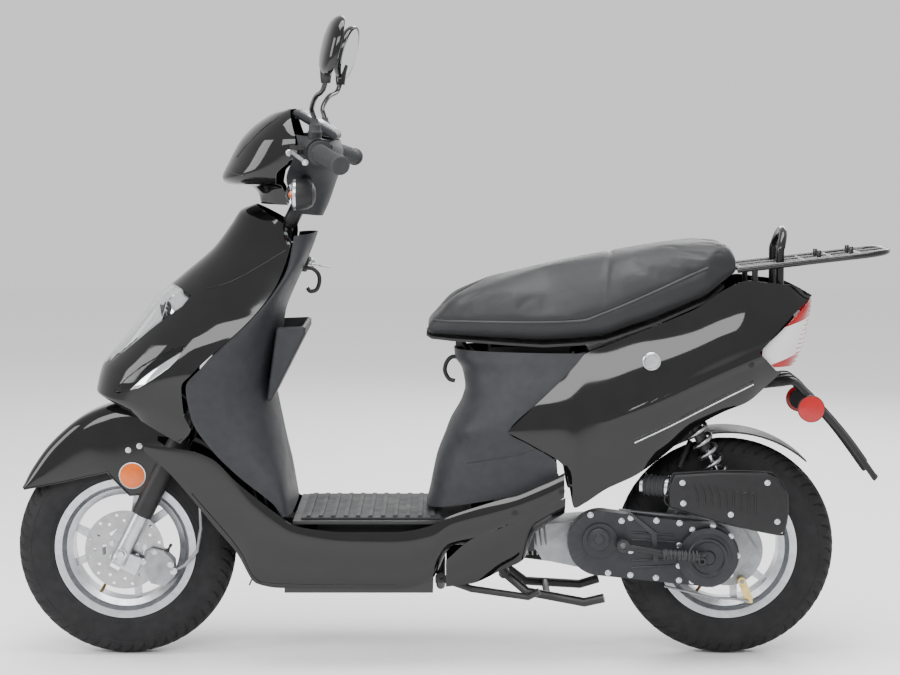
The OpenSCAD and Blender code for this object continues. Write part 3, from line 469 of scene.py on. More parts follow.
def turnedParts(profile, at, axis, steps=72, start=0):
    axis = Vector(axis).normalized()
    spin = Vector((0, 0, 1)).rotation_difference(axis).to_matrix()
    verts, n = [], len(profile)
    for k in range(steps):
        a = 2 * math.pi * k / steps
        for r, h in profile:
            verts.append(Vector(at) + spin @ Vector((r * math.cos(a), r * math.sin(a), h)))
    faces = [(start + k * n + i, start + k * n + i + 1, start + (k + 1) % steps * n + i + 1,
              start + (k + 1) % steps * n + i)
             for k in range(steps) for i in range(n - 1)]
    return verts, faces


def turned(name, turns, body, paint, steps=72, sharp=32):
    verts, faces = [], []
    for profile, at, axis in turns:
        v, f = turnedParts(profile, at, axis, steps, len(verts))
        verts += v
        faces += f
    return addPiece(name, verts, faces, body, paint, sharp)


def slab(name, outline, y0, y1, body=None, paint="black", slotName=None):
    n = len(outline)
    verts = [(x, y0, z) for x, z in outline] + [(x, y1, z) for x, z in outline]
    faces = [tuple(range(n)), tuple(range(2 * n - 1, n - 1, -1))]
    faces += [(i, (i + 1) % n, n + (i + 1) % n, n + i) for i in range(n)]
    return addPiece(name, verts, faces, body, paint)


def boltParts(at, axis, r, h, start=0):
    profile = [(0, h), (r * 0.32, h), (r * 0.36, h - 0.3 * h), (r * 0.5, h - 0.3 * h), (r * 0.52, h), (r * 0.82, h),
               (r * 0.95, h * 0.86), (r * 0.95, h * 0.3), (r * 1.3, h * 0.22), (r * 1.3, 0), (0, 0)]
    return turnedParts(profile, at, axis, 12, start)


def bolts(name, places, body, paint="bright"):
    verts, faces = [], []
    for at, axis, r, h in places:
        v, f = boltParts(at, axis, r, h, len(verts))
        verts += v
        faces += f
    return addPiece(name, verts, faces, body, paint, sharp=25)


# front fairing, headlight and turn lenses

fairing = {
    "rows": [[516, 443, 652, 520, 160, 2.6], [523, 470, 680, 500, 164, 2.6], [534, 500, 699, 512, 165, 2.5],
             [552, 552, 696, 516, 168, 2.4], [581, 580, 688, 494, 172, 2.3], [634, 625, 645, 446, 168, 2.3],
             [683, 668, 606, 398, 158, 2.2], [713, 700, 582, 368, 146, 2.2], [762, 745, 525, 336, 128, 2.2],
             [814, 790, 465, 318, 110, 2.2], [858, 824, 432, 309, 96, 2.2], [886, 842, 412, 307, 86, 2.2],
             [897, 852, 386, 307, 80, 2.2]],
    "headlight": [[560, 745], [530, 737], [503, 724], [520, 703], [553, 681], [585, 657], [613, 633], [640, 611],
                  [664, 593],
                  [700, 576], [740, 700]],
    "turn": [[650, 540], [640, 538], [600, 551], [570, 569], [540, 590], [522, 608], [510, 632], [530, 628],
             [562, 611],
             [592, 593], [622, 570]],
    "gap": 0.9,
}


def grown(outline, by):
    p = np.array(outline, float)
    c = p.mean(0)
    return [tuple(q + (q - c) / np.linalg.norm(q - c) * by) for q in p]


def cutOut(blank, name, cutter, paint, sharp):
    # a copy of the blank, cut to its place on the nose
    part = blank.copy()
    part.data = blank.data.copy()
    part.name = name
    bpy.context.scene.collection.objects.link(part)
    cutWith(part, [cutter], "INTERSECT")
    dress(part, paint, sharp)
    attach(part, "chassis")
    return part


def makeFairing():
    shell = nosePanel("frontFairing", fairing["rows"], "chassis", "gloss", per=7, around=120)
    lensShell = nosePanel("frontLensBlank", fairing["rows"], None, "lens", per=5, around=96, wall=2.6)
    bowl = nosePanel("lampBowlBlank", [[r[0] - 6, r[1] - 6, r[2] - 26, r[3] - 14, r[4] - 14, r[5]]
                                       for r in fairing["rows"]],
                     None, "chrome", per=4, around=72, wall=2)
    head = slab("headCutter", grown(fairing["headlight"], fairing["gap"]), -250, 250)
    turn = slab("turnCutter", grown(fairing["turn"], fairing["gap"]), -250, 250)
    cutWith(shell, [head, turn])
    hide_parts("front_fairing")
    dress(shell, "gloss", 30)
    inner = slab("lensCutter", grown(fairing["headlight"], -1.2), -250, 250)
    innerTurn = slab("turnLensCutter", grown(fairing["turn"], -1.0), -250, 250)
    lens = cutOut(lensShell, "headlightLens", inner, "lens", 30)
    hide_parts("front_lenses")
    cutOut(lensShell, "turnLenses", innerTurn, "lens", 30)
    deep = slab("bowlCutter", grown(fairing["headlight"], 8), -250, 250)
    deepTurn = slab("bowlTurnCutter", grown(fairing["turn"], 5), -250, 250)
    cutOut(bowl, "headlightReflector", deep, "chrome", 20)
    cutOut(bowl, "turnReflectors", deepTurn, "chrome", 20)
    discard(lensShell, bowl, head, turn, inner, innerTurn, deep, deepTurn)
    rings = []
    for s in (-1, 1):
        at = (566, s * 52, 664)
        rings.append(([(0, -30), (14, -30), (34, -22), (46, -2), (49, 6), (46, 7), (44, 0), (31, -19), (0, -27)],
                      at,
                      (0.92, 0.16 * s, 0.36)))
        rings.append(([(0, -28), (10, -24), (10, -4), (6, 4), (0, 6)], at, (0.92, 0.16 * s, 0.36)))
    turned("headlightBowls", rings, "chassis", "chrome", 48)
    bulbs = [([(0, -12), (7, -12), (8, 0), (5, 9), (0, 11)], (556, s * 118, 590), (0.7, 0.6 * s, 0.2))
             for s in (-1, 1)]
    turned("turnBulbs", bulbs, "chassis", "amber", 24)
    # raised beads that edge the nose panels and the crease along each flank
    runs = []
    for s in (-1, 1):
        seam = surfaceLine(shell, curvePath([[600, 447], [566, 440], [536, 444], [516, 452]], 6), s, 0.15)
        crease = surfaceLine(shell, curvePath([[320, 812], [352, 792], [400, 764], [440, 746], [474, 738]], 6), s,
                             0.4)
        for line in (seam, crease):
            if len(line) > 3:
                runs.append((line, 1.1))
    tubes("fairingBeads", runs, "chassis", "gloss", 8)


def surfaceLine(thing, path, side, lift=0.0, start=300):
    # drops a side-view line onto a piece and returns points in mm
    tree = BVHTree.FromObject(thing, bpy.context.evaluated_depsgraph_get())
    out = []
    for x, z in path:
        hit = tree.ray_cast(Vector((x * mm, side * start * mm, z * mm)), Vector((0, -side, 0)))
        if hit[0] is not None:
            out.append([x, hit[0].y / mm + side * lift, z])
    return out


makeFairing()
print("stage: fairing ready")


# leg shield, floor and skirts

shield = {
    "rows": [[300, 300, 308, 326, 156, 3.4], [383, 322, 320, 340, 157, 3], [440, 380, 330, 410, 158, 2.8],
             [521, 430, 345, 460, 156, 2.6], [560, 490, 352, 498, 160, 2.5], [600, 550, 344, 508, 163, 2.4],
             [655, 590, 332, 478, 166, 2.3], [687, 640, 327, 430, 160, 2.3], [774, 720, 290, 351, 133, 2.2],
             [810, 780, 274, 315, 108, 2.2], [842, 838, 262, 304, 82, 2.2]],
    "pocketOuter": [[358, 519], [338, 662], [282, 664], [282, 649], [348, 519]],
    "pocketInner": [[351, 530], [334, 690], [288, 690], [288, 651]],
    "hook": [[292, 0, 770], [274, 0, 769], [262, 0, 758], [260, 0, 742], [266, 0, 727], [278, 0, 724],
             [284, 0, 731]],
}


def makeShield():
    panel = nosePanel("legShield", shield["rows"], "chassis", "matt", per=7, around=96)
    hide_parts("leg_shield")
    pocket = slab("shieldPocket", shield["pocketOuter"], -105, 105, None, "matt", "matt_trim")
    hollow = slab("pocketHollow", shield["pocketInner"], -100, 100)
    rounded(pocket, 9, 4, 30)
    cutWith(pocket, [hollow])
    discard(hollow)
    dress(pocket, "matt", 35)
    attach(pocket, "chassis")
    tubes("bagHook", [(curvePath(shield["hook"], 5), 4)], "chassis", "steel")
    rim = [([(9.5, -6), (13, -6), (14.5, 2), (14.5, 8), (12, 10), (9.5, 9)], (287, -45, 776.5),
            (-0.985, 0, -0.174))]
    turned("keyRing", rim, "chassis", "bright", 40)
    turned("keyBoss", [([(14, -26), (20, -26), (18, 0), (15.5, 3), (14, 3)], (287, -45, 776.5),
                        (-0.985, 0, -0.174))], "chassis",
           "black", 48)


skirt = {"rows": [[590, 428, 440, 158, 160, 160], [545, 388, 436, 156, 162, 163], [500, 334, 430, 150, 163, 166],
                  [458, 280, 414, 146, 163, 167], [415, 226, 372, 140, 163, 168], [379, 164, 342, 128, 163, 168],
                  [335, 154, 308, 124, 163, 168], [298, 153, 284, 122, 162, 168], [200, 152, 272, 122, 162, 166],
                  [108, 152, 272, 124, 162, 165], [40, 170, 284, 126, 163, 165], [0, 240, 304, 146, 166, 164],
                  [-60, 264, 324, 154, 167, 163], [-126, 293, 344, 158, 168, 162], [-180, 316, 368, 160, 168, 161],
                  [-218, 338, 386, 160, 167, 160]]}
wing = {"rows": [[10, 158, 214, 132, 149, 153], [-40, 162, 256, 120, 145, 153], [-100, 188, 279, 112, 143, 153],
                 [-140, 206, 300, 108, 142, 152], [-165, 262, 312, 112, 142, 152], [-221, 300, 336, 116, 142, 152]]}
tail = {
    "rows": [[-111, 462, 467, 148, 148, 148], [-160, 436, 513, 147, 149, 143], [-219, 394, 568, 142, 152, 130],
             [-240, 311, 590, 119, 151.5, 124], [-262, 322, 614, 120, 150, 120], [-300, 348, 628, 122, 150, 118],
             [-360, 376, 652, 118, 148, 116],
             [-420, 420, 676, 114, 146, 112], [-476, 469, 700, 110, 143, 108], [-530, 498, 735, 106, 139, 98],
             [-575, 516, 752, 102, 135, 92], [-610, 545, 748, 98, 129, 88], [-660, 600, 742, 104, 122, 80],
             [-702, 700, 724, 98, 98, 70]],
    "lamp": [[-594, 616], [-622, 648], [-660, 688], [-700, 722], [-760, 722], [-760, 560], [-630, 578]],
    "ridge": [[-300, 485], [-400, 522], [-500, 566], [-580, 601], [-612, 613]],
    "trim": [[-354, 449], [-430, 484], [-510, 523], [-585, 560]],
}


def sidePair(name, rows, paint, node, per=6, up=16, cutters=(), ridge=None):
    made = []
    for s, label in ((1, "left"), (-1, "right")):
        outer, inner = sideGrid(rows, per, up), sideGrid(rows, per, up, 3.0)
        if ridge is not None:
            outer = pressRidge(outer, ridge)
            inner = pressRidge(inner, ridge)
        if s < 0:
            outer, inner = mirrored(outer), mirrored(inner)
        verts, faces = shellOf(outer, inner)
        thing = addPiece(name + label.title(), verts, faces, None, paint)
        if cutters:
            cutWith(thing, cutters)
            dress(thing, paint, 30)
        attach(thing, "chassis")
        if node:
            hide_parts(f"{label}_{node}")
        made.append(thing)
    return made


def pressRidge(grid, line):
    # raises a soft crease along the line
    p = np.array(line, float)
    out = np.array(grid)
    x, z = grid[..., 0], grid[..., 2]
    level = np.interp(-x, -p[:, 0], p[:, 1])
    inside = np.clip((-x - 300 + 20) / 60, 0, 1) * np.clip((640 + x) / 40, 0, 1)
    d = (z - level) / 9.0
    out[..., 1] += inside * 3.6 * np.exp(-d * d)
    return out


def makeSides():
    lamp = slab("lampCutter", tail["lamp"], 40, 220)
    lampFar = slab("lampCutterFar", tail["lamp"], -220, -40)
    lock = turned("lockCutter", [([(0, -30), (13.6, -30), (13.6, 30), (0, 30)], (-385, 140, 601), (0, 1, 0))], None,
                  "black")
    skirts = sidePair("sideSkirt", skirt["rows"], "gloss", "side_skirt", per=6, up=18)
    sidePair("tailWing", wing["rows"], "gloss", None, per=6, up=12)
    tails = sidePair("tailPanel", tail["rows"], "gloss", "tail_panel", per=7, up=56,
                     cutters=[lamp, lampFar, lock], ridge=tail["ridge"])
    discard(lamp, lampFar, lock)
    runs, screws, stripe = [], [], []
    for s, t, k in ((1, tails[0], skirts[0]), (-1, tails[1], skirts[1])):
        slot = surfaceLine(t, curvePath(tail["trim"], 10), s, 0.2)
        runs.append((slot, 1.3))
        lower = surfaceLine(t, curvePath([[x, z - 7] for x, z in tail["trim"]], 10), s, -0.6)
        stripe.append((lower, 1.6))
        edge = surfaceLine(k, curvePath([[500, 345], [415, 240], [382, 176], [340, 163], [200, 160], [108, 160]],
                                        8), s, 0.2)
        runs.append((edge, 1.4))
        for at in ((-577, 594), (-122, 311), (-212, 352)):
            for thing in (t, k):
                hit = surfaceLine(thing, [at], s, -0.4)
                if hit:
                    screws.append((hit[0], (0, s, 0), 5.5, 2.2))
                    break
    tubes("panelBeads", runs, "chassis", "gloss", 8)
    tubes("tailStripes", stripe, "chassis", "stripe", 8)
    bolts("panelScrews", screws, "chassis", "black")
    turned("lockCollar", [([(13.2, -4), (17, -4), (17.5, 0.6), (16, 2), (13.2, 1.4)], (-385, 149, 601), (0, 1, 0))],
           "chassis",
           "bright", 48)


seatCover = {"rows": [[306, 352, 48, -196, 142, 3.6], [331, 372, 42, -206, 142, 3.6],
                      [398, 402, 28, -204, 146, 3.2],
                      [440, 438, 12, -152, 146, 3], [466, 464, 2, -112, 144, 3], [511, 508, -22, -154, 138, 2.8],
                      [537, 534, -28, -190, 134, 2.8], [572, 568, -22, -226, 126, 2.6],
                      [596, 594, -8, -244, 120, 2.6],
                      [614, 612, -6, -256, 115, 2.6]]}


def makeSeatCover():
    cover = nosePanel("seatBaseCover", seatCover["rows"], "chassis", "matt", per=8, around=110)
    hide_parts("seat_base_cover")
    hooks = [(curvePath([[-22, 0, 590], [-4, 0, 594], [8, 0, 584], [12, 0, 566], [4, 0, 550], [-8, 0, 546]], 6),
              4.2)]
    tubes("coverHook", hooks, "chassis", "steel")
    seams = []
    for s in (-1, 1):
        seams.append((surfaceLine(cover, curvePath([[-30, 400], [-70, 408], [-130, 420], [-158, 430]], 6), s, -0.3),
                      1.0))
    tubes("coverSeams", [r for r in seams if len(r[0]) > 3], "chassis", "black", 8)


makeShield()
makeSides()
makeSeatCover()
print("stage: bodywork ready")


# headset, dials, grips, levers and mirrors

cowl = {"rows": [[898, 896, 374, 318, 44, 2.2], [917, 916, 378, 322, 48, 2.2], [934, 934, 402, 330, 58, 2.2],
                 [936, 940, 436, 336, 110, 2.1], [950, 958, 449, 334, 132, 2.1], [981, 984, 435, 308, 146, 2.1],
                 [1004, 1006, 423, 296, 150, 2.1], [1022, 1024, 412, 296, 148, 2.1],
                 [1047, 1048, 389, 302, 134, 2.1],
                 [1062, 1064, 369, 306, 120, 2.1], [1075, 1076, 346, 308, 104, 2.1],
                 [1082, 1083, 318, 309, 90, 2.1]],
        "back": [[874, 880, 252, 304, 42, 2.4], [900, 904, 240, 308, 54, 2.4], [940, 946, 226, 318, 84, 2.4],
                 [970, 980, 216, 306, 118, 2.4], [1000, 1010, 212, 292, 128, 2.4],
                 [1022, 1034, 218, 296, 124, 2.4]]}
barRoot = np.array([252.0, 190, 1003])
barWay = np.array([-50.0, 135, -22]) / np.linalg.norm([-50.0, 135, -22])


def onBar(d, side=1):
    p = barRoot + barWay * d
    return (float(p[0]), float(p[1]) * side, float(p[2]))


dials = {"lean": -31, "centre": (262, 0, 1054), "sides": (-42, 42)}
barLamp = (286, 172, 922)


def makeHeadset():
    front = nosePanel("headsetCowl", cowl["rows"], None, "gloss", per=7, around=96)
    back = nosePanel("headsetBack", cowl["back"], None, "matt", per=6, around=72)
    holes = turned("barHoles", [([(0, -80), (35, -80), (35, 80), (0, 80)], (258, 130 * s, 1000), (0, 1, 0))
                                for s in (-1, 1)],
                   None, "black")
    holesBack = turned("barHolesBack", [([(0, -80), (20, -80), (20, 80), (0, 80)], (252, 140 * s, 1002), (0, 1, 0))
                                        for s in (-1, 1)], None, "black")
    cutWith(front, [holes])
    cutWith(back, [holesBack])
    discard(holes, holesBack)
    dress(front, "gloss", 30)
    dress(back, "matt", 30)
    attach(front, "steering")
    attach(back, "steering")
    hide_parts("headset_cowl")
    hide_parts("headset_back")
    tilt = Matrix.Rotation(math.radians(dials["lean"]), 3, "Y")
    centre = Vector(dials["centre"])

    def dash(x, y, z):
        return tuple(centre + tilt @ Vector((x, y, z)))

    up = tilt @ Vector((0, 0, 1))
    panel = slab("gaugePanel", [(-50, -8), (48, -8), (48, 5), (38, 7), (-42, 7), (-50, 3)], -92, 92, None, "matt",
                 "matt_trim")
    panel.data.transform(Matrix.Translation(centre * mm) @ tilt.to_4x4())
    rounded(panel, 5, 4)
    wells = turned("dialWells", [([(0, -1), (36, -1), (36, 20), (0, 20)], dash(0, y, 2), up)
                                 for y in dials["sides"]],
                   None, "black")
    cutWith(panel, [wells])
    discard(wells)
    dress(panel, "matt", 30)
    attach(panel, "steering")
    rims = [([(33, 0), (36, 0), (37.5, 5), (36.5, 7.5), (34.5, 7), (33.4, 2.5), (33, 1)], dash(0, y, 1.5), up)
            for y in dials["sides"]]
    turned("dialRims", rims, "steering", "bright", 60)
    faces = [([(0, 1.2), (6, 1.2), (33.5, 1.4), (33.5, 0), (0, 0)], dash(0, y, 1.2), up) for y in dials["sides"]]
    turned("dialFaces", faces, "steering", "dial", 60)
    ticks = []
    for y in dials["sides"]:
        for k in range(21):
            a = math.radians(225 - 13.5 * k)
            r0, r1 = (24 if k % 5 == 0 else 27), 31
            ticks.append(([dash(-r * math.sin(a), y + r * math.cos(a), 2.9) for r in (r0, (r0 + r1) / 2, r1)],
                          0.45))
        ticks.append(([dash(r * 0.6, y + r * 0.8, 3.6) for r in (-6, 10, 24)], [1.4, 1.0, 0.4]))
    tubes("dialTicks", ticks, "steering", "mark", 6)
    cups, rims, glass = [], [], []
    for s in (-1, 1):
        at = (barLamp[0], barLamp[1] * s, barLamp[2])
        cups.append(([(0, -30), (12, -29), (22, -24), (28, -14), (30.5, 0), (30.5, 8), (28, 9), (27, 0), (0, 0)],
                     at, (1, 0, 0)))
        rims.append(([(28.2, 7), (31, 7), (31.4, 11), (29.6, 13), (28.2, 12)], at, (1, 0, 0)))
        glass.append(([(0, 28), (10, 26.5), (19, 21.5), (26, 13), (28.6, 9), (26, 9), (0, 12)], at, (1, 0, 0)))
    turned("barLampCups", cups, "steering", "black", 48)
    turned("barLampRims", rims, "steering", "bright", 48)
    turned("barLampLenses", glass, "steering", "lens", 48)
    turned("barLampBulbs", [([(0, 4), (6, 4), (6.5, 10), (4, 16), (0, 18)],
                             (barLamp[0], barLamp[1] * s, barLamp[2]), (1, 0, 0))
                            for s in (-1, 1)],
           "steering", "amber", 24)
    stalks = [(curvePath([[278, 78 * s, 950], [284, 104 * s, 942], [285, 130 * s, 930], [285, 150 * s, 924]], 6),
               [9] * 7 + [8] * 6 + [9.5] * 6)
              for s in (-1, 1)]
    tubes("barLampStalks", stalks, "steering", "black")
    heads = []
    for s in (-1, 1):
        for x, z in ((309, 966), (290, 1000)):
            hit = surfaceLine(front, [(x + 18, z)], s, 0)
            if hit:
                heads.append((hit[0], (0, s, 0), 5, 3))
    if heads:
        bolts("cowlBolts", heads, "steering")
    slot = surfaceLine(front, curvePath([[436, 968], [424, 962], [410, 958], [396, 956]], 6), 1, 0.2)
    far = surfaceLine(front, curvePath([[436, 968], [424, 962], [410, 958], [396, 956]], 6), -1, 0.2)
    crease = [surfaceLine(front, curvePath([[330, 1068], [360, 1046], [392, 1016], [414, 990]], 8), s, 0.3)
              for s in (1, -1)]
    tubes("cowlBeads", [(r, 1.2) for r in (slot, far, *crease) if len(r) > 3], "steering", "gloss", 8)


grip = {"ribs": 15, "radius": 16.2, "tip": 18}


def gripProfile():
    points = [(11.5, 12), (23, 12), (23.4, 13.5), (23, 17.5), (17.5, 19), (16.2, 22)]
    for k in range(grip["ribs"]):
        d = 24 + k * 7.6
        points += [(grip["radius"] - 0.9, d), (grip["radius"] - 0.9, d + 1.6), (grip["radius"] + 0.4, d + 2.4),
                   (grip["radius"] + 0.4, d + 6.6), (grip["radius"] - 0.9, d + 7.4)]
    return points + [(16.2, 138), (18, 140), (grip["tip"], 146), (15.5, 148.4), (0, 149)]


def makeControls():
    for s, name, body, node in ((1, "leftGrip", "steering", "left_grip"),
                                (-1, "throttleGrip", "throttle", "throttle_grip")):
        at = (float(barRoot[0]), float(barRoot[1]) * s, float(barRoot[2]))
        part = turned(name, [(gripProfile(), at, (barWay[0], barWay[1] * s, barWay[2]))], body, "rubber",
                      60, 25)
        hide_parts(node)
    bar, stems, bosses = [], [], []
    for s in (-1, 1):
        bar.append((curvePath([[250, 0, 985], [252, 50 * s, 993], [252, 95 * s, 1003], [252, 150 * s, 1004],
                               onBar(0, s),
                               onBar(50, s), onBar(138, s)], 5), 11))
        stems.append((curvePath([[257, 176 * s, 1050], [258, 177 * s, 1066], [262, 186 * s, 1084],
                                 [252, 222 * s, 1106],
                                 [237, 270 * s, 1117], [230, 286 * s, 1136]], 6), 4.8))
        bosses.append(([(0, 0), (13, 0), (14, 3), (11.5, 7), (11.5, 16), (8, 20), (6, 28), (0, 28)],
                       (257, 176 * s, 1036.5), (0, 0, 1)))
    bar.append(([(650 - 0.454 * 722 - 5, 0, 216 + 0.891 * 722), (250.9, 0, 989.4)], 15))
    whole = tubes("handlebarTube", bar, "steering", "steel", 20)
    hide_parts("handlebar")
    tubes("mirrorStems", stems, "steering", "rack")
    turned("mirrorBoots", bosses, "steering", "rubber", 36)
    turned("mirrorBalls", [([(0, -6.4), (4, -5), (6.4, 0), (5, 4), (0, 6.4)], (230, 286 * s, 1136), (0, 0, 1))
                           for s in (-1, 1)],
           "steering", "bright", 24)
    for s, name, body, node in ((1, "leftLever", "left_lever", "left_brake_lever"),
                                (-1, "rightLever", "right_lever", "right_brake_lever")):
        line = curvePath([[295, 186 * s, 1002.3], [297, 212 * s, 1002], [288, 246 * s, 997], [276, 284 * s, 991],
                          [267, 317 * s, 986]], 8)
        sizes = np.interp(np.linspace(0, 1, len(line)), [0, 0.12, 0.3, 0.9, 0.96, 1.0],
                          [4, 4.6, 3.8, 3.4, 5.4, 5.8])
        hub = ([(3.1, -3.5), (8.6, -3.5), (9, -2.8), (9, 3.4), (8.6, 4.1), (3.1, 4.1)], (295, 186 * s, 1002),
               (0, 0, 1))
        v, f = tubeParts(line[2:], sizes[2:], 16)
        v2, f2 = turnedParts([*hub[0]], hub[1], hub[2], 36, len(v))
        v3, f3 = turnedParts([(0, -6), (4.4, -4.6), (6.3, 0), (4.4, 4.6), (0, 6)], (267, 317 * s, 986), (0, 0, 1),
                             24, len(v) + len(v2))
        lever = addPiece(name, v + v2 + v3, f + f2 + f3, body, "alloy", 40)
        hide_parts(node)
    for s, name, body, node in ((1, "leftMirror", "left_mirror_head", "left_mirror"),
                                (-1, "rightMirror", "right_mirror_head", "right_mirror")):
        makeMirror(name, s, body, node)


def makeMirror(name, s, body, node):
    turn = Matrix.Rotation(math.radians(12 * s), 3, "Z") @ Matrix.Rotation(math.radians(-14), 3, "Y")
    at = Vector((222, 300 * s, 1198))
    rings, n = [], 56
    for depth, size in ((-10.5, 0.95), (-11, 0.98), (-8, 1.0), (-3, 0.985), (3, 0.9), (8, 0.74), (11, 0.5),
                        (12.5, 0.2)):
        ring = []
        for k in range(n):
            a = 2 * math.pi * k / n
            w = 60 * size * math.copysign(abs(math.cos(a)) ** 0.86, math.cos(a))
            h = 59 * size * math.copysign(abs(math.sin(a)) ** 0.86, math.sin(a)) * (1.0 if math.sin(a) > 0
                                                                                    else 0.94)
            ring.append(at + turn @ Vector((depth, w, h)))
        rings.append(ring)
    verts = [p for r in rings for p in r]
    faces = gridFaces(len(rings), n, ring=True) + [tuple(range(n)), tuple(range((len(rings) - 1) * n,
                                                                                len(rings) * n))]
    v, f = tubeParts(curvePath([[230, 286 * s, 1131], [230, 287 * s, 1142], [229, 291 * s, 1158],
                                [227, 294 * s, 1172]], 5),
                     np.linspace(9, 13, 16), 24, len(verts))
    shell = addPiece(name, verts + v, faces + f, body, "gloss", 40)
    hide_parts(node)
    verts = [at + turn @ Vector((-11.8 - 0.6 * (1 - q * q), 55 * q * math.cos(2 * math.pi * k / n),
                                 53 * q * math.sin(2 * math.pi * k / n)))
             for q in (0.02, 0.3, 0.6, 0.85, 1.0) for k in range(n)]
    faces = gridFaces(5, n, ring=True) + [tuple(range(n))]
    addPiece(name + "Glass", verts, faces, body, "mirror", 60)


makeHeadset()
makeControls()
print("stage: controls ready")


# wheels

tread = {"pitches": 54, "depth": 5.0, "steps": 540}


def tyreMesh(name, centreX, body, node):
    half = 45.0
    outline = [(128, 33.6), (134, 36.2), (140, 38), (141.5, 41.2), (148, 43.6), (158, half), (168, 45.1),
               (178, 44.7), (188, 43)]
    crown = [(194, 40.5), (199, 37.8), (203.5, 34.4), (207.2, 30.4), (210, 26), (212.2, 21.5), (213.9, 17),
             (215, 12.5), (215.6, 8),
             (215.9, 4), (216, 0)]
    top = outline + crown
    ring = [(r, y) for r, y in top] + [(r, -y) for r, y in top[-2::-1]] + [(130.2, -33.8), (150, -36), (186, -34),
                                                                           (204, -16),
                                                                           (204, 16), (186, 34), (150, 36),
                                                                           (130.2, 33.8)]
    profile = np.array(ring)
    n, steps = len(profile), tread["steps"]
    theta = np.linspace(0, 2 * math.pi, steps, endpoint=False)
    lug = theta[:, None] * tread["pitches"] / (2 * math.pi)
    y = profile[None, :, 1]
    r = np.repeat(profile[None, :, 0], steps, 0)
    on = (r > 193) & (np.arange(n)[None, :] < 2 * len(top) - 1)
    sweep = lug + np.abs(y) / 15.0 * 0.62 + np.where(y > 0, 0.5, 0.0)
    cross = np.abs((sweep % 1.0) - 0.5) * 2
    groove = np.clip((cross - 0.74) / 0.10, 0, 1)
    zig = np.abs(((lug * 0.5) % 1.0) - 0.5) * 2
    rib = np.clip(1 - np.abs(np.abs(y) - (9 + 3.0 * zig)) / 2.2, 0, 1)
    centre = np.clip(1 - np.abs(y) / 5, 0, 1)
    dig = np.maximum(groove * (1 - centre) * np.clip((np.abs(y) - 5) / 4, 0, 1), rib * 0.9)
    r = r - on * dig * tread["depth"] * np.clip((r - 190) / 12, 0.25, 1)
    verts = np.zeros((steps, n, 3))
    verts[..., 0] = centreX + r * np.cos(theta)[:, None]
    verts[..., 1] = np.repeat(y, steps, 0)
    verts[..., 2] = axle["height"] + r * np.sin(theta)[:, None]
    faces = [(k * n + i, k * n + (i + 1) % n, (k + 1) % steps * n + (i + 1) % n, (k + 1) % steps * n + i)
             for k in range(steps) for i in range(n)]
    thing = addPiece(name, verts.reshape(-1, 3), faces, body, "tyre", 38)
    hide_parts(node)
    lines = []
    for s in (-1, 1):
        for radius, size in ((150.5, 0.9), (186.5, 0.7)):
            a = np.linspace(0, 2 * math.pi, 145)
            side = np.interp(radius, [141.5, 148, 158, 168, 178, 188], [41.2, 43.6, 45, 45.1, 44.7, 43])
            lines.append(([(centreX + radius * math.cos(t), s * side, axle["height"] + radius * math.sin(t))
                           for t in a], size))
    tubes(name + "Rings", lines, body, "tyre", 6)


def makeWheels():
    tyreMesh("frontTyre", axle["front"], "front_wheel", "front_tyre")
    tyreMesh("rearTyre", axle["rear"], "rear_wheel", "rear_tyre")
    studs = []
    for k in range(6):
        a = math.radians(60 * k + 30)
        studs.append(((axle["front"] + 27 * math.cos(a), 54, axle["height"] + 27 * math.sin(a)), (0, 1, 0), 5, 4))
    bolts("discBolts", studs, "front_wheel", "bright")
    for x, body in ((axle["front"], "front_wheel"), (axle["rear"], "rear_wheel")):
        a = math.radians(60)
        c, d = math.cos(a), -math.sin(a)
        line = [(x + q * c, w, axle["height"] + q * d) for q, w in ((106, 4), (98, 8), (90, 14), (84, 22))]
        label = "valve" + body.title().replace("_", "")
        tubes(label, [(curvePath(line, 4), [3.2] * 9 + [2.4] * 4)], body, "brass")
    turned("frontAxleNuts", [([(0, 8), (7, 8), (8, 6.5), (8, 1), (12, 0.6), (12, 0), (0, 0)],
                              (axle["front"], s * 101, axle["height"]), (0, s, 0))
                             for s in (-1, 1)], "sliders", "bright", 6, 20)


makeWheels()
print("stage: wheels ready")


# the seat: a padded cushion, filled out by the cloth solver

cushion = {"top": [(48, 663), (26, 694), (9, 717), (-11, 729), (-100, 748), (-189, 758), (-308, 786), (-417, 812),
                   (-516, 830),
                   (-540, 826), (-556, 790), (-556, 764)],
           "low": [(-530, 744), (-496, 716), (-397, 674), (-298, 640), (-249, 634), (-179, 630), (-100, 634),
                   (38, 642), (48, 648)],
           "width": [(-560, 84), (-500, 112), (-330, 132), (-120, 122), (0, 100), (52, 70)],
           "piping": [(34, 673), (-219, 675), (-298, 693), (-496, 778)], "voxel": 0.0055, "pressure": 4.0}


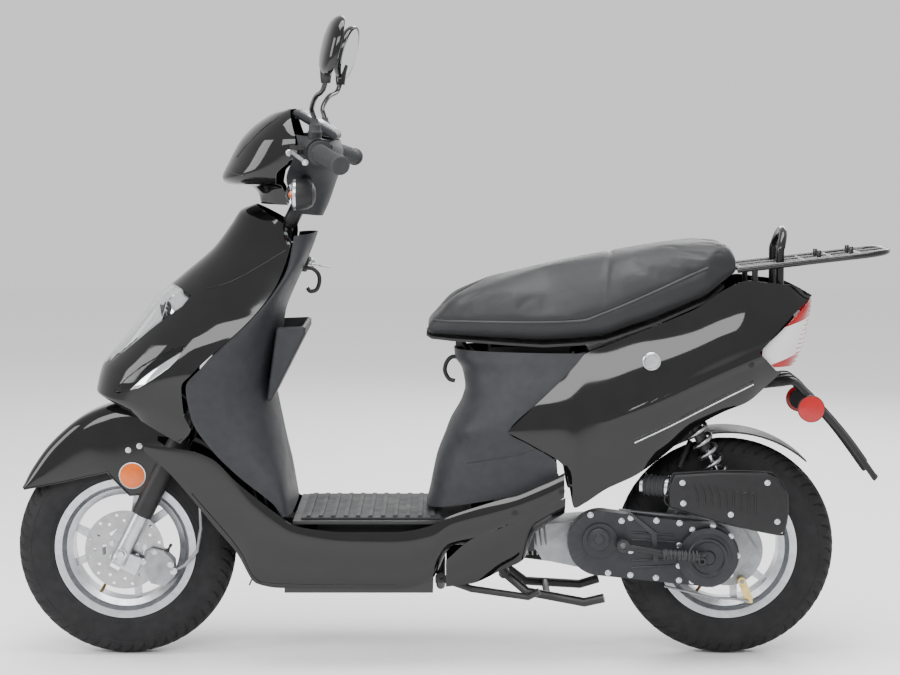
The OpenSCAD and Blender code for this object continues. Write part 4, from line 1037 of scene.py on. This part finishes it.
def makeCushion():
    keep = 0.955
    xs = np.linspace(-553, 45, 66)
    topXs, topZs = [p[0] for p in cushion["top"][:10]][::-1], [p[1] for p in cushion["top"][:10]][::-1]
    topXs, topZs = [-556, -550] + topXs, [790, 812] + topZs
    lowXs, lowZs = [p[0] for p in cushion["low"]], [p[1] for p in cushion["low"]]
    rows, around = [], 44
    for x in xs:
        high = float(np.interp(x, topXs, topZs)) - 4
        low = float(np.interp(x, [-556, *lowXs], [764, *lowZs])) + 3
        half = float(np.interp(x, *zip(*cushion["width"]))) * keep
        mid, tall = (high + low) / 2, (high - low) / 2
        row = []
        for k in range(around):
            a = 2 * math.pi * k / around
            c, d = math.cos(a), math.sin(a)
            row.append((x, half * math.copysign(abs(c) ** 0.45, c) * (1 - 0.10 * max(0, d)),
                        mid + tall * math.copysign(abs(d) ** 0.5, d)))
        rows.append(row)
    verts = [p for r in rows for p in r]
    faces = gridFaces(len(rows), around, ring=True) + [tuple(range(around)),
                                                       tuple(range((len(rows) - 1) * around, len(rows) * around))]
    pad = addPiece("seatCushion", verts, faces, None, "vinyl", 60)
    bm = bmesh.new()
    bm.from_mesh(pad.data)
    bmesh.ops.recalc_face_normals(bm, faces=bm.faces)
    bm.to_mesh(pad.data)
    bm.free()
    remesh = pad.modifiers.new("remesh", "REMESH")
    remesh.mode = "VOXEL"
    remesh.voxel_size = cushion["voxel"]
    settle(pad)
    inflate(pad)
    carveSeams(pad)
    for face in pad.data.polygons:
        face.use_smooth = True
    dress(pad, "vinyl", 60)
    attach(pad, "seat")
    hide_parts("seat_cushion")
    line = curvePath([(x, z) for x, z in cushion["piping"]], 16)
    runs = []
    for s in (-1, 1):
        hit = surfaceLine(pad, line, s, 0.6)
        if len(hit) > 6:
            runs.append((hit, 2.6))
    tubes("seatPiping", runs, "seat", "seam", 10)


def inflate(pad):
    group = pad.vertex_groups.new(name="pinned")
    pins = []
    for vert in pad.data.vertices:
        x, z = vert.co.x / mm, vert.co.z / mm
        floor = float(np.interp(x, [-556] + [p[0] for p in cushion["low"]], [764] + [p[1] for p in cushion["low"]]))
        if z < floor + 16:
            pins.append(vert.index)
    group.add(pins, 1.0, "REPLACE")
    cloth = pad.modifiers.new("cloth", "CLOTH")
    settings = cloth.settings
    settings.quality = 5
    settings.mass = 0.3
    settings.tension_stiffness = 30
    settings.compression_stiffness = 30
    settings.shear_stiffness = 12
    settings.bending_stiffness = 1.5
    settings.use_pressure = True
    settings.uniform_pressure_force = cushion["pressure"]
    settings.effector_weights.gravity = 0
    settings.vertex_group_mass = "pinned"
    settings.pin_stiffness = 1
    cloth.collision_settings.use_collision = False
    cloth.collision_settings.use_self_collision = False
    cloth.point_cache.frame_start = 1
    cloth.point_cache.frame_end = 20
    scene = bpy.context.scene
    for f in range(1, 21):
        scene.frame_set(f)
    settle(pad)
    scene.frame_set(1)


def carveSeams(pad):
    # sewn channels follow the piping line and cross the crown ahead of the pillion half
    line = cushion["piping"]
    xs, zs = [p[0] for p in line][::-1], [p[1] for p in line][::-1]
    for vert in pad.data.vertices:
        x, y, z = vert.co.x / mm, vert.co.y / mm, vert.co.z / mm
        if -496 < x < 34:
            off = z - float(np.interp(x, xs, zs))
            if abs(off) < 14 and abs(y) > 40:
                vert.co.y -= math.copysign(2.6 * mm * math.exp(-(off / 4.5) ** 2), y)
        crest = -292 - 22 * math.cos(min(1.0, abs(y) / 130) * math.pi / 2)
        side = abs(x - crest)
        if side < 16 and z > float(np.interp(x, xs, zs)) + 4:
            vert.co.z -= 4.4 * mm * math.exp(-(side / 5.0) ** 2)


makeCushion()
print("stage: cushion ready")


# tail: lens, red band, reflectors, mudguard and rack

def makeTail():
    rows = [[585, 585, -676, -600, 112, 2.6], [620, 618, -692, -602, 116, 2.4], [660, 650, -700, -632, 114, 2.4],
            [700, 690, -706, -670, 106, 2.4], [722, 716, -706, -688, 96, 2.4]]
    lens = nosePanel("tailLens", rows, None, "red", per=8, around=64)
    keep = slab("tailKeep", [(-596, 615), (-709, 728), (-760, 724), (-760, 560), (-632, 577)], -150, 150, None,
                "red", None)
    cutWith(lens, [keep], "INTERSECT")
    discard(keep)
    dress(lens, "tail", 30)
    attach(lens, "chassis")
    lines = []
    for z in range(592, 716, 9):
        half = float(np.interp(z, [585, 620, 660, 700, 722], [70, 84, 84, 74, 60]))
        path = []
        for y in np.linspace(-half, half, 15):
            ok, at = lens.ray_cast(Vector((-0.9, y * mm, z * mm)), Vector((1, 0, 0)))[:2]
            if ok:
                path.append(((at.x / mm) - 0.2, at.y / mm, at.z / mm))
        if len(path) > 8:
            lines.append((path, 0.9))
    tubes("tailLensRibs", lines, "chassis", "red", 6)
    reflect = [([(0, 0), (25, 0), (26, 1), (25.5, 4.6), (22, 5.4), (0, 5.8)], (-703, 78.6 * s, 500), (0, s, 0))
               for s in (-1, 1)]
    turned("rearReflectors", reflect, "chassis", "red", 48)
    rims = [([(24, 4.6), (26.3, 5.0), (26.5, 0), (25.6, 0)], (-703, 78.4 * s, 500), (0, s, 0)) for s in (-1, 1)]
    turned("rearReflectorRims", rims, "chassis", "black", 48)
    stems = [([(0, 0), (19, 0), (20, 1.2), (20, 4), (0, 4.4)], (-703, 74.9 * s, 500), (0, s, 0)) for s in (-1, 1)]
    turned("rearReflectorPads", stems, "chassis", "black", 40)
    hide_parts("rear_lenses")


mudguard = {"line": [(-604, 552), (-640, 556), (-674, 558), (-698, 536), (-719, 515), (-780, 446), (-840, 364)],
            "half": [75, 74, 62], "wall": 3.2, "ribs": (-44, 0, 44)}


def upNormal(line, i):
    a = line[min(i + 1, len(line) - 1)] - line[max(i - 1, 0)]
    a = a / np.linalg.norm(a)
    normal = np.array([-a[1], a[0]])
    return -normal if normal[1] < 0 else normal


def makeMudguard():
    line = np.array(curvePath(mudguard["line"], 6))
    rows = []
    for i, (x, z) in enumerate(line):
        normal = upNormal(line, i)
        row = []
        half = float(np.interp(i, [0, len(line) - 8, len(line) - 1], mudguard["half"]))
        for k in range(33):
            q = -1 + k / 16.0
            drop = 11 * max(0, abs(q) - 0.72) ** 2 / 0.0784 * 0.9
            p = np.array([x, z]) - normal * drop
            row.append((p[0], q * half, p[1]))
        rows.append(row)
    under = []
    for i, row in enumerate(rows):
        normal = upNormal(line, i)
        under.append([(x - normal[0] * mudguard["wall"], y * 0.985, z - normal[1] * mudguard["wall"]) for x, y,
                      z in row])
    verts, faces = shellOf(np.array(rows), np.array(under))
    guard = addPiece("rearMudguard", verts, faces, "chassis", "black", 40)
    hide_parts("rear_mudguard")
    ribs = []
    for y in mudguard["ribs"]:
        ribs.append(([(x, y, z + 0.6) for x, z in line[3:-2]], 1.6))
    tubes("mudguardRibs", ribs, "chassis", "black", 8)
    lip = [([(p[0], p[1], p[2] - 1.5) for p in rows[-1]], 2.2)]
    tubes("mudguardLip", lip, "chassis", "black", 8)


rack = {"front": -556, "level": 772, "rise": 0.115, "rail": 78, "inner": 26, "bars": (-565, -690, -745, -800),
        "pins": (-722, -785), "strut": -590,
        "hoop": {"x": -642, "half": 52, "base": 806, "rise": 40, "foot": 700, "steps": 15}}


def rackZ(x):
    return rack["level"] + (-560 - x) * rack["rise"]


def makeRack():
    rails = []
    for s in (-1, 1):
        wide, inner, foot = rack["rail"] * s, rack["inner"] * s, rack["strut"]
        outer = [(x, wide) for x in (rack["front"], -640, -730, -806)] + [(-842, 60 * s), (-855, 30 * s), (-856, 0)]
        rails.append((curvePath([[x, y, rackZ(x)] for x, y in outer], 6), 6))
        rails.append(([[x, inner, rackZ(x)] for x in (rack["front"], -700, -853)], 4))
        rails.append((curvePath([[foot, wide, rackZ(foot)], [foot, wide, 720], [foot, wide, 668]], 4), 6))
    for x in rack["bars"]:
        rails.append(([[x, -76, rackZ(x)], [x, 0, rackZ(x)], [x, 76, rackZ(x)]], 4))
    bow = rack["hoop"]
    x, half = bow["x"], bow["half"]
    hoop = []
    for t in np.linspace(0, math.pi, bow["steps"]):
        z = bow["base"] + bow["rise"] * math.sin(t)
        hoop.append([x - 10 * (z - bow["base"]) / bow["rise"], half * math.cos(t), z])
    legs = [[[x, half * s, z] for z in (bow["foot"], 770)] for s in (1, -1)]
    rails.append((curvePath(legs[0] + hoop + legs[1][::-1], 4), 8))
    part = tubes("rackRails", rails, "chassis", "rack", 16)
    turned("rackPins", [([(0, 0), (4.4, 0), (4.4, 12), (3.4, 14), (0, 14)], (x, y, rackZ(x) + 2), (0, 0, 1))
                        for x in rack["pins"]
                        for y in (-rack["inner"], rack["inner"])], "chassis", "rack", 20)
    bolts("rackBolts", [((rack["strut"], 84 * s, 690), (0, s, 0), 5, 4) for s in (-1, 1)], "chassis")
    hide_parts("luggage_rack")


makeTail()
makeMudguard()
makeRack()
print("stage: tail ready")


# front fork, mudguard and brake

def forkPoint(s, y, f=0):
    # s runs up the leaning fork axis from the axle, f runs forwards across it
    lean = math.radians(27)
    return (axle["front"] - math.sin(lean) * s + math.cos(lean) * f, y,
            axle["height"] + math.cos(lean) * s + math.sin(lean) * f)


fender = {"crown": [(512, 470), (528, 482), (575, 502), (632, 508), (680, 500), (736, 474), (791, 426), (828, 376),
                    (846, 341)],
          "edge": [(518, 424), (534, 404), (552, 366), (580, 332), (632, 326), (676, 372), (712, 364), (764, 352),
                   (842, 337)],
          "half": [54, 59, 61, 61, 61, 61, 60, 58, 52], "wall": 2.8}


def makeFender():
    crown = curvePath(fender["crown"], 9)
    edge = np.array(fender["edge"], float)
    t = np.linspace(0, 8, len(crown))
    low = np.stack([np.interp(t, range(9), edge[:, 0]), np.interp(t, range(9), edge[:, 1])], 1)
    half = flow([[h] for h in fender["half"]], 9)[:, 0]
    grids = []
    for inset in (0.0, fender["wall"]):
        grid = np.zeros((len(crown), 49, 3))
        for i in range(len(crown)):
            a = np.linspace(0, math.pi, 49)
            c, d = np.cos(a), np.sin(a)
            side = np.sign(c) * np.abs(c) ** 0.36
            rise = np.abs(d) ** 0.44
            grid[i, :, 1] = (half[i] - inset) * side
            grid[i, :, 0] = low[i, 0] + (crown[i, 0] - low[i, 0]) * rise
            grid[i, :, 2] = low[i, 1] + (crown[i, 1] - inset - low[i, 1]) * rise
        grids.append(grid)
    verts, faces = shellOf(*grids)
    guard = addPiece("frontFender", verts, faces, None, "gloss", 40)
    legs = []
    for s in (-1, 1):
        profile = [(17.6, 84), (20.4, 84), (21, 90), (20.6, 150), (20.2, 240), (19, 258), (17.6, 262)]
        legs.append((profile, forkPoint(0, 79 * s), np.subtract(forkPoint(1, 0), forkPoint(0, 0))))
    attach(guard, "steering")
    turned("forkShrouds", legs, "steering", "black", 48)
    beads = []
    for s in (-1, 1):
        rim = [tuple(p) for p in grids[0][:, 0 if s > 0 else -1]]
        beads.append((rim, 1.9))
    tubes("fenderBeads", beads, "steering", "gloss", 8)
    amber = [([(0, 0), (24.5, 0), (25.5, 1), (25.2, 3.6), (21, 4.8), (0, 5.2)], (626, 61.4 * s, 366), (0, s, 0))
             for s in (-1, 1)]
    turned("fenderReflectors", amber, "steering", "amber", 48)
    rims = [([(24.4, 4), (26.4, 4.4), (26.6, -1), (25.4, -1)], (626, 61.4 * s, 366), (0, s, 0)) for s in (-1, 1)]
    turned("fenderReflectorRims", rims, "steering", "bright", 48)
    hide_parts("front_fender")
    bolts("fenderBolts", [((612 + 22 * k, s * 60.5, 424 - 8 * k), (0, s, 0), 4.5, 3) for s in (-1, 1)
                          for k in (0, 1)], "steering")


def makeForkDetail():
    boots, caps = [], []
    for s in (-1, 1):
        way = np.subtract(forkPoint(1, 0), forkPoint(0, 0))
        boots.append(([(13.3, 189), (17.5, 189), (18.2, 192), (18.2, 200), (16.6, 206), (15, 209), (13.3, 210)],
                      forkPoint(0, 79 * s), way))
        caps.append(([(0, -24), (10, -24), (11, -22), (16.4, -20), (16.9, -16), (16.9, -8), (16.3, -6)],
                     forkPoint(0, 79 * s), way))
    turned("forkDustSeals", boots, "sliders", "rubber", 40)
    turned("forkFootCaps", caps, "sliders", "alloy", 40)
    pins = [((606, 71, 196), (0, 1, 0), 5, 4), ((552, 71, 190), (0, 1, 0), 5, 4),
            ((584, 70, 215), (0, 1, 0), 4.5, 4)]
    bolts("caliperBolts", pins, "sliders")
    bleed = [([(0, 0), (4, 0), (4, 4), (2.4, 6), (2.4, 12), (3.2, 13), (3, 17), (0, 18)], (560, 58, 214),
              (-0.5, 0.2, 0.85))]
    turned("caliperBleeder", bleed, "sliders", "rubber", 24)
    banjo = [([(0, 0), (7, 0), (7, 5), (5, 5), (5, 9), (0, 9)], (548, 66, 176), (-0.3, 1, 0))]
    turned("hoseBanjo", banjo, "sliders", "bright", 12)


makeFender()
makeForkDetail()
print("stage: fork ready")


# engine side: ribs, bolts, bellows, kick lever and spring

def makeEngine():
    ring = []
    for k in range(9):
        a = math.radians(20 + 40 * k)
        ring.append(((-500 + 59 * math.cos(a), 112, 216 + 59 * math.sin(a)), (0, 1, 0), 4.6, 5))
    for k in range(4):
        a = math.radians(70 + 62 * k)
        ring.append(((-292 + 60 * math.cos(a), 112, 240 + 60 * math.sin(a)), (0, 1, 0), 4.6, 5))
    for x in (-350, -400, -445):
        ring.append(((x, 112, 297 - 0.11 * (-292 - x)), (0, 1, 0), 4.6, 5))
        ring.append(((x, 112, 184 - 0.11 * (-292 - x)), (0, 1, 0), 4.6, 5))
    bolts("coverBolts", ring, "engine", "bright")
    dome = [([(0, 13.6), (12, 13.4), (13.5, 12), (15, 9.4), (30, 9.2), (33, 11.5), (37, 11.7), (40, 9.3), (48, 9),
              (56, 6), (58.4, 0)],
             (-500, 117, 214), (0, 1, 0))]
    turned("coverDome", dome, "engine", "cover", 90)
    ribs = []
    for z0, z1 in ((262, 256), (248, 243), (192, 197), (206, 210)):
        ribs.append((curvePath([[-352, 112.2, z0], [-400, 112.6, (z0 + z1) / 2], [-436, 112.2, z1]], 6), 2.4))
    tubes("coverRibs", ribs, "engine", "cover", 10)
    boss = [([(0, 8), (9, 8), (10, 7), (10, 4), (16, 3.6), (19, 6.4), (21.4, 5.6), (22, 0)], (-288, 118, 250),
             (0, 1, 0))]
    turned("kickBoss", boss, "engine", "cover", 60)
    finned = []
    for k in range(7):
        x = -128 - 9.5 * k
        finned.append(([(34, -1.4), (52, -1.4), (53, 0), (52, 1.4), (34, 1.4)], (x, 8, 250), (1, 0, -0.12)))
    turned("barrelFins", finned, "engine", "cast", 40, 30)


airBox = {
    "outline": [(-430, 381), (-520, 386), (-608, 384), (-630, 374), (-650, 342), (-652, 306), (-646, 272),
                (-632, 262), (-520, 288), (-422, 318), (-420, 350)],
    "lid": (132, 151), "body": (104, 133), "seam": 133.4,
    "bolts": [(-446, 366), (-610, 366), (-630, 290), (-448, 326), (-540, 304)],
}
bellows = {"start": (-375.0, 84, 352), "end": (-430.0, 109, 350), "radius": 18.6, "fold": 3.0, "steps": 60,
           "bands": (1, 52)}


def makeAirBox():
    outline = airBox["outline"]
    lid = slab("airBoxLid", outline, *airBox["lid"], None, "black", None)
    rounded(lid, 5, 4)
    dress(lid, "black", 30)
    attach(lid, "engine")
    body = slab("airBoxBody", [(x * 0.985 - 8, z * 0.985 + 4.8) for x, z in outline], *airBox["body"], None,
                "black", None)
    rounded(body, 4, 3)
    dress(body, "black", 30)
    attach(body, "engine")
    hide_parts("air_filter_box")
    loop = [(x, airBox["seam"], z) for x, z in outline + outline[:1]]
    tubes("airBoxSeam", [(curvePath(loop, 6), 2.0)], "engine", "black", 8)
    spots = [((x, airBox["lid"][1], z), (0, 1, 0), 4.5, 3.5) for x, z in airBox["bolts"]]
    bolts("airBoxBolts", spots, "engine")
    bars = [(curvePath([[-466 - 14 * k, 151, 366 - 3 * k], [-474 - 14 * k, 151.4, 344],
                        [-476 - 14 * k, 151, 322 - 2 * k]], 5), 1.8)
            for k in range(9)]
    tubes("airBoxRibs", bars, "engine", "black", 8)
    start, end, steps = np.array(bellows["start"]), np.array(bellows["end"]), bellows["steps"]
    points = [start + (end - start) * k / steps for k in range(steps + 1)]
    sizes = [bellows["radius"] + bellows["fold"] * (0.5 - 0.5 * math.cos(2 * math.pi * k / 10))
             for k in range(steps + 1)]
    tubes("intakeBellows", [(points, sizes)], "engine", "rubber", 36)
    way = (end - start) / np.linalg.norm(end - start)
    bands = [([(19.4, 0), (22.4, 0), (22.4, 6), (19.4, 6)], tuple(start + way * d), tuple(way))
             for d in bellows["bands"]]
    turned("bellowsBands", bands, "engine", "bright", 40)


kick = {"arm": [[-340, 137, 238], [-352, 139.4, 236.5], [-392, 140, 230], [-440, 141, 220], [-470, 142, 214]],
        "radii": [9, 7.4, 6.6], "hub": (-334, 0, 240), "eye": (-486, 0, 211), "pedal": (-480, 160, 226),
        "hubProfile": [(7.1, 127.2), (13, 127.2), (14.2, 129), (14.2, 144), (13, 146), (7.1, 146)],
        "eyeProfile": [(3.6, 134.2), (8.4, 134.2), (9.2, 136), (9.2, 148.4), (8.4, 149.8), (3.6, 149.8)]}


def makeKick():
    line = curvePath(kick["arm"], 6)
    sizes = np.interp(np.linspace(0, 1, len(line)), [0, 0.2, 1], kick["radii"])
    parts = [tubeParts(line, sizes, 18)]
    total = len(parts[0][0])
    for profile, at in ((kick["hubProfile"], kick["hub"]), (kick["eyeProfile"], kick["eye"])):
        made = turnedParts(profile + [profile[0]], at, (0, 1, 0), 40, total)
        parts.append(made)
        total += len(made[0])
    verts = [v for p in parts for v in p[0]]
    faces = [f for p in parts for f in p[1]]
    lever = addPiece("kickLever", verts, faces, "kick_arm", "steel", 40)
    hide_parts("kick_lever")
    ribs = [([(8, q), (9.6, q + 0.8), (9.6, q + 3.2), (8, q + 4)], kick["pedal"], (1, 0, 0))
            for q in range(4, 68, 7)]
    turned("kickPedalRibs", ribs, "kick_foot", "rubber", 24)


coil = {"down": (-0.43323, 0, -0.90128), "top": (-459.0, 80, 503.8), "turns": 7.5, "length": 185.7, "radius": 19.6,
        "wire": 4.0, "keep": 0.758}


def makeSpring():
    down, top = np.array(coil["down"]), np.array(coil["top"])
    side, up = np.array([0, 1.0, 0]), np.cross(down, [0, 1.0, 0])
    points = []
    steps = int(coil["turns"] * 28)
    for k in range(steps + 1):
        q = k / (coil["turns"] * 28)
        a = 2 * math.pi * coil["turns"] * q
        rise = coil["length"] * (0.03 + 0.94 * q)
        points.append(top + down * rise + (side * math.cos(a) + up * math.sin(a)) * coil["radius"])
    spring = tubes("shockCoil", [(points, coil["wire"])], None, "disc", 14)
    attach(spring, "shock_upper")
    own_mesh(spring)
    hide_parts("shock_spring")
    seats = [([(13, -4), (25, -4), (27, -2), (27, 2), (24, 4), (13, 4)], tuple(top), tuple(down))]
    turned("shockTopSeat", seats, "shock_upper", "steel", 48)


makeEngine()
makeAirBox()
makeKick()
makeSpring()
print("stage: engine ready")


# every carried piece of the frame gets its material

dressing = {
    "main_frame": "steel", "lamp_housings": "black", "inner_fender": "black", "footboard": "black",
            "foot_mat": "mat",
    "belly_pan": "gloss", "storage_bucket": "black", "fuel_tank": "steel", "fuel_cap": "black",
            "ignition_key": "bright",
    "seat_lock": "bright", "switch_housings": "black", "starter_button": "yellow", "horn_button": "black",
    "beam_switch": "black", "indicator_switch": "black", "fork_crown": "steel", "front_fender": "gloss",
    "fork_sliders": "alloy", "brake_caliper": "cast", "front_rim": "alloy", "brake_disc": "disc",
            "crankcase": "cast",
    "cvt_cover": "cover", "air_filter_box": "black", "exhaust": "exhaust", "rear_hugger": "black",
            "rear_rim": "alloy",
    "kick_lever": "steel", "kick_pedal": "rubber", "shock_body": "steel", "shock_rod": "chrome",
            "shock_spring": "disc",
    "rear_brake_arm": "zinc", "centre_stand": "steel", "side_stand": "steel", "seat_base": "black",
}


def dressFrame():
    for name, paint in dressing.items():
        data = nodes[name].data
        data.materials.clear()
        data.materials.append(paints[paint])


dressFrame()
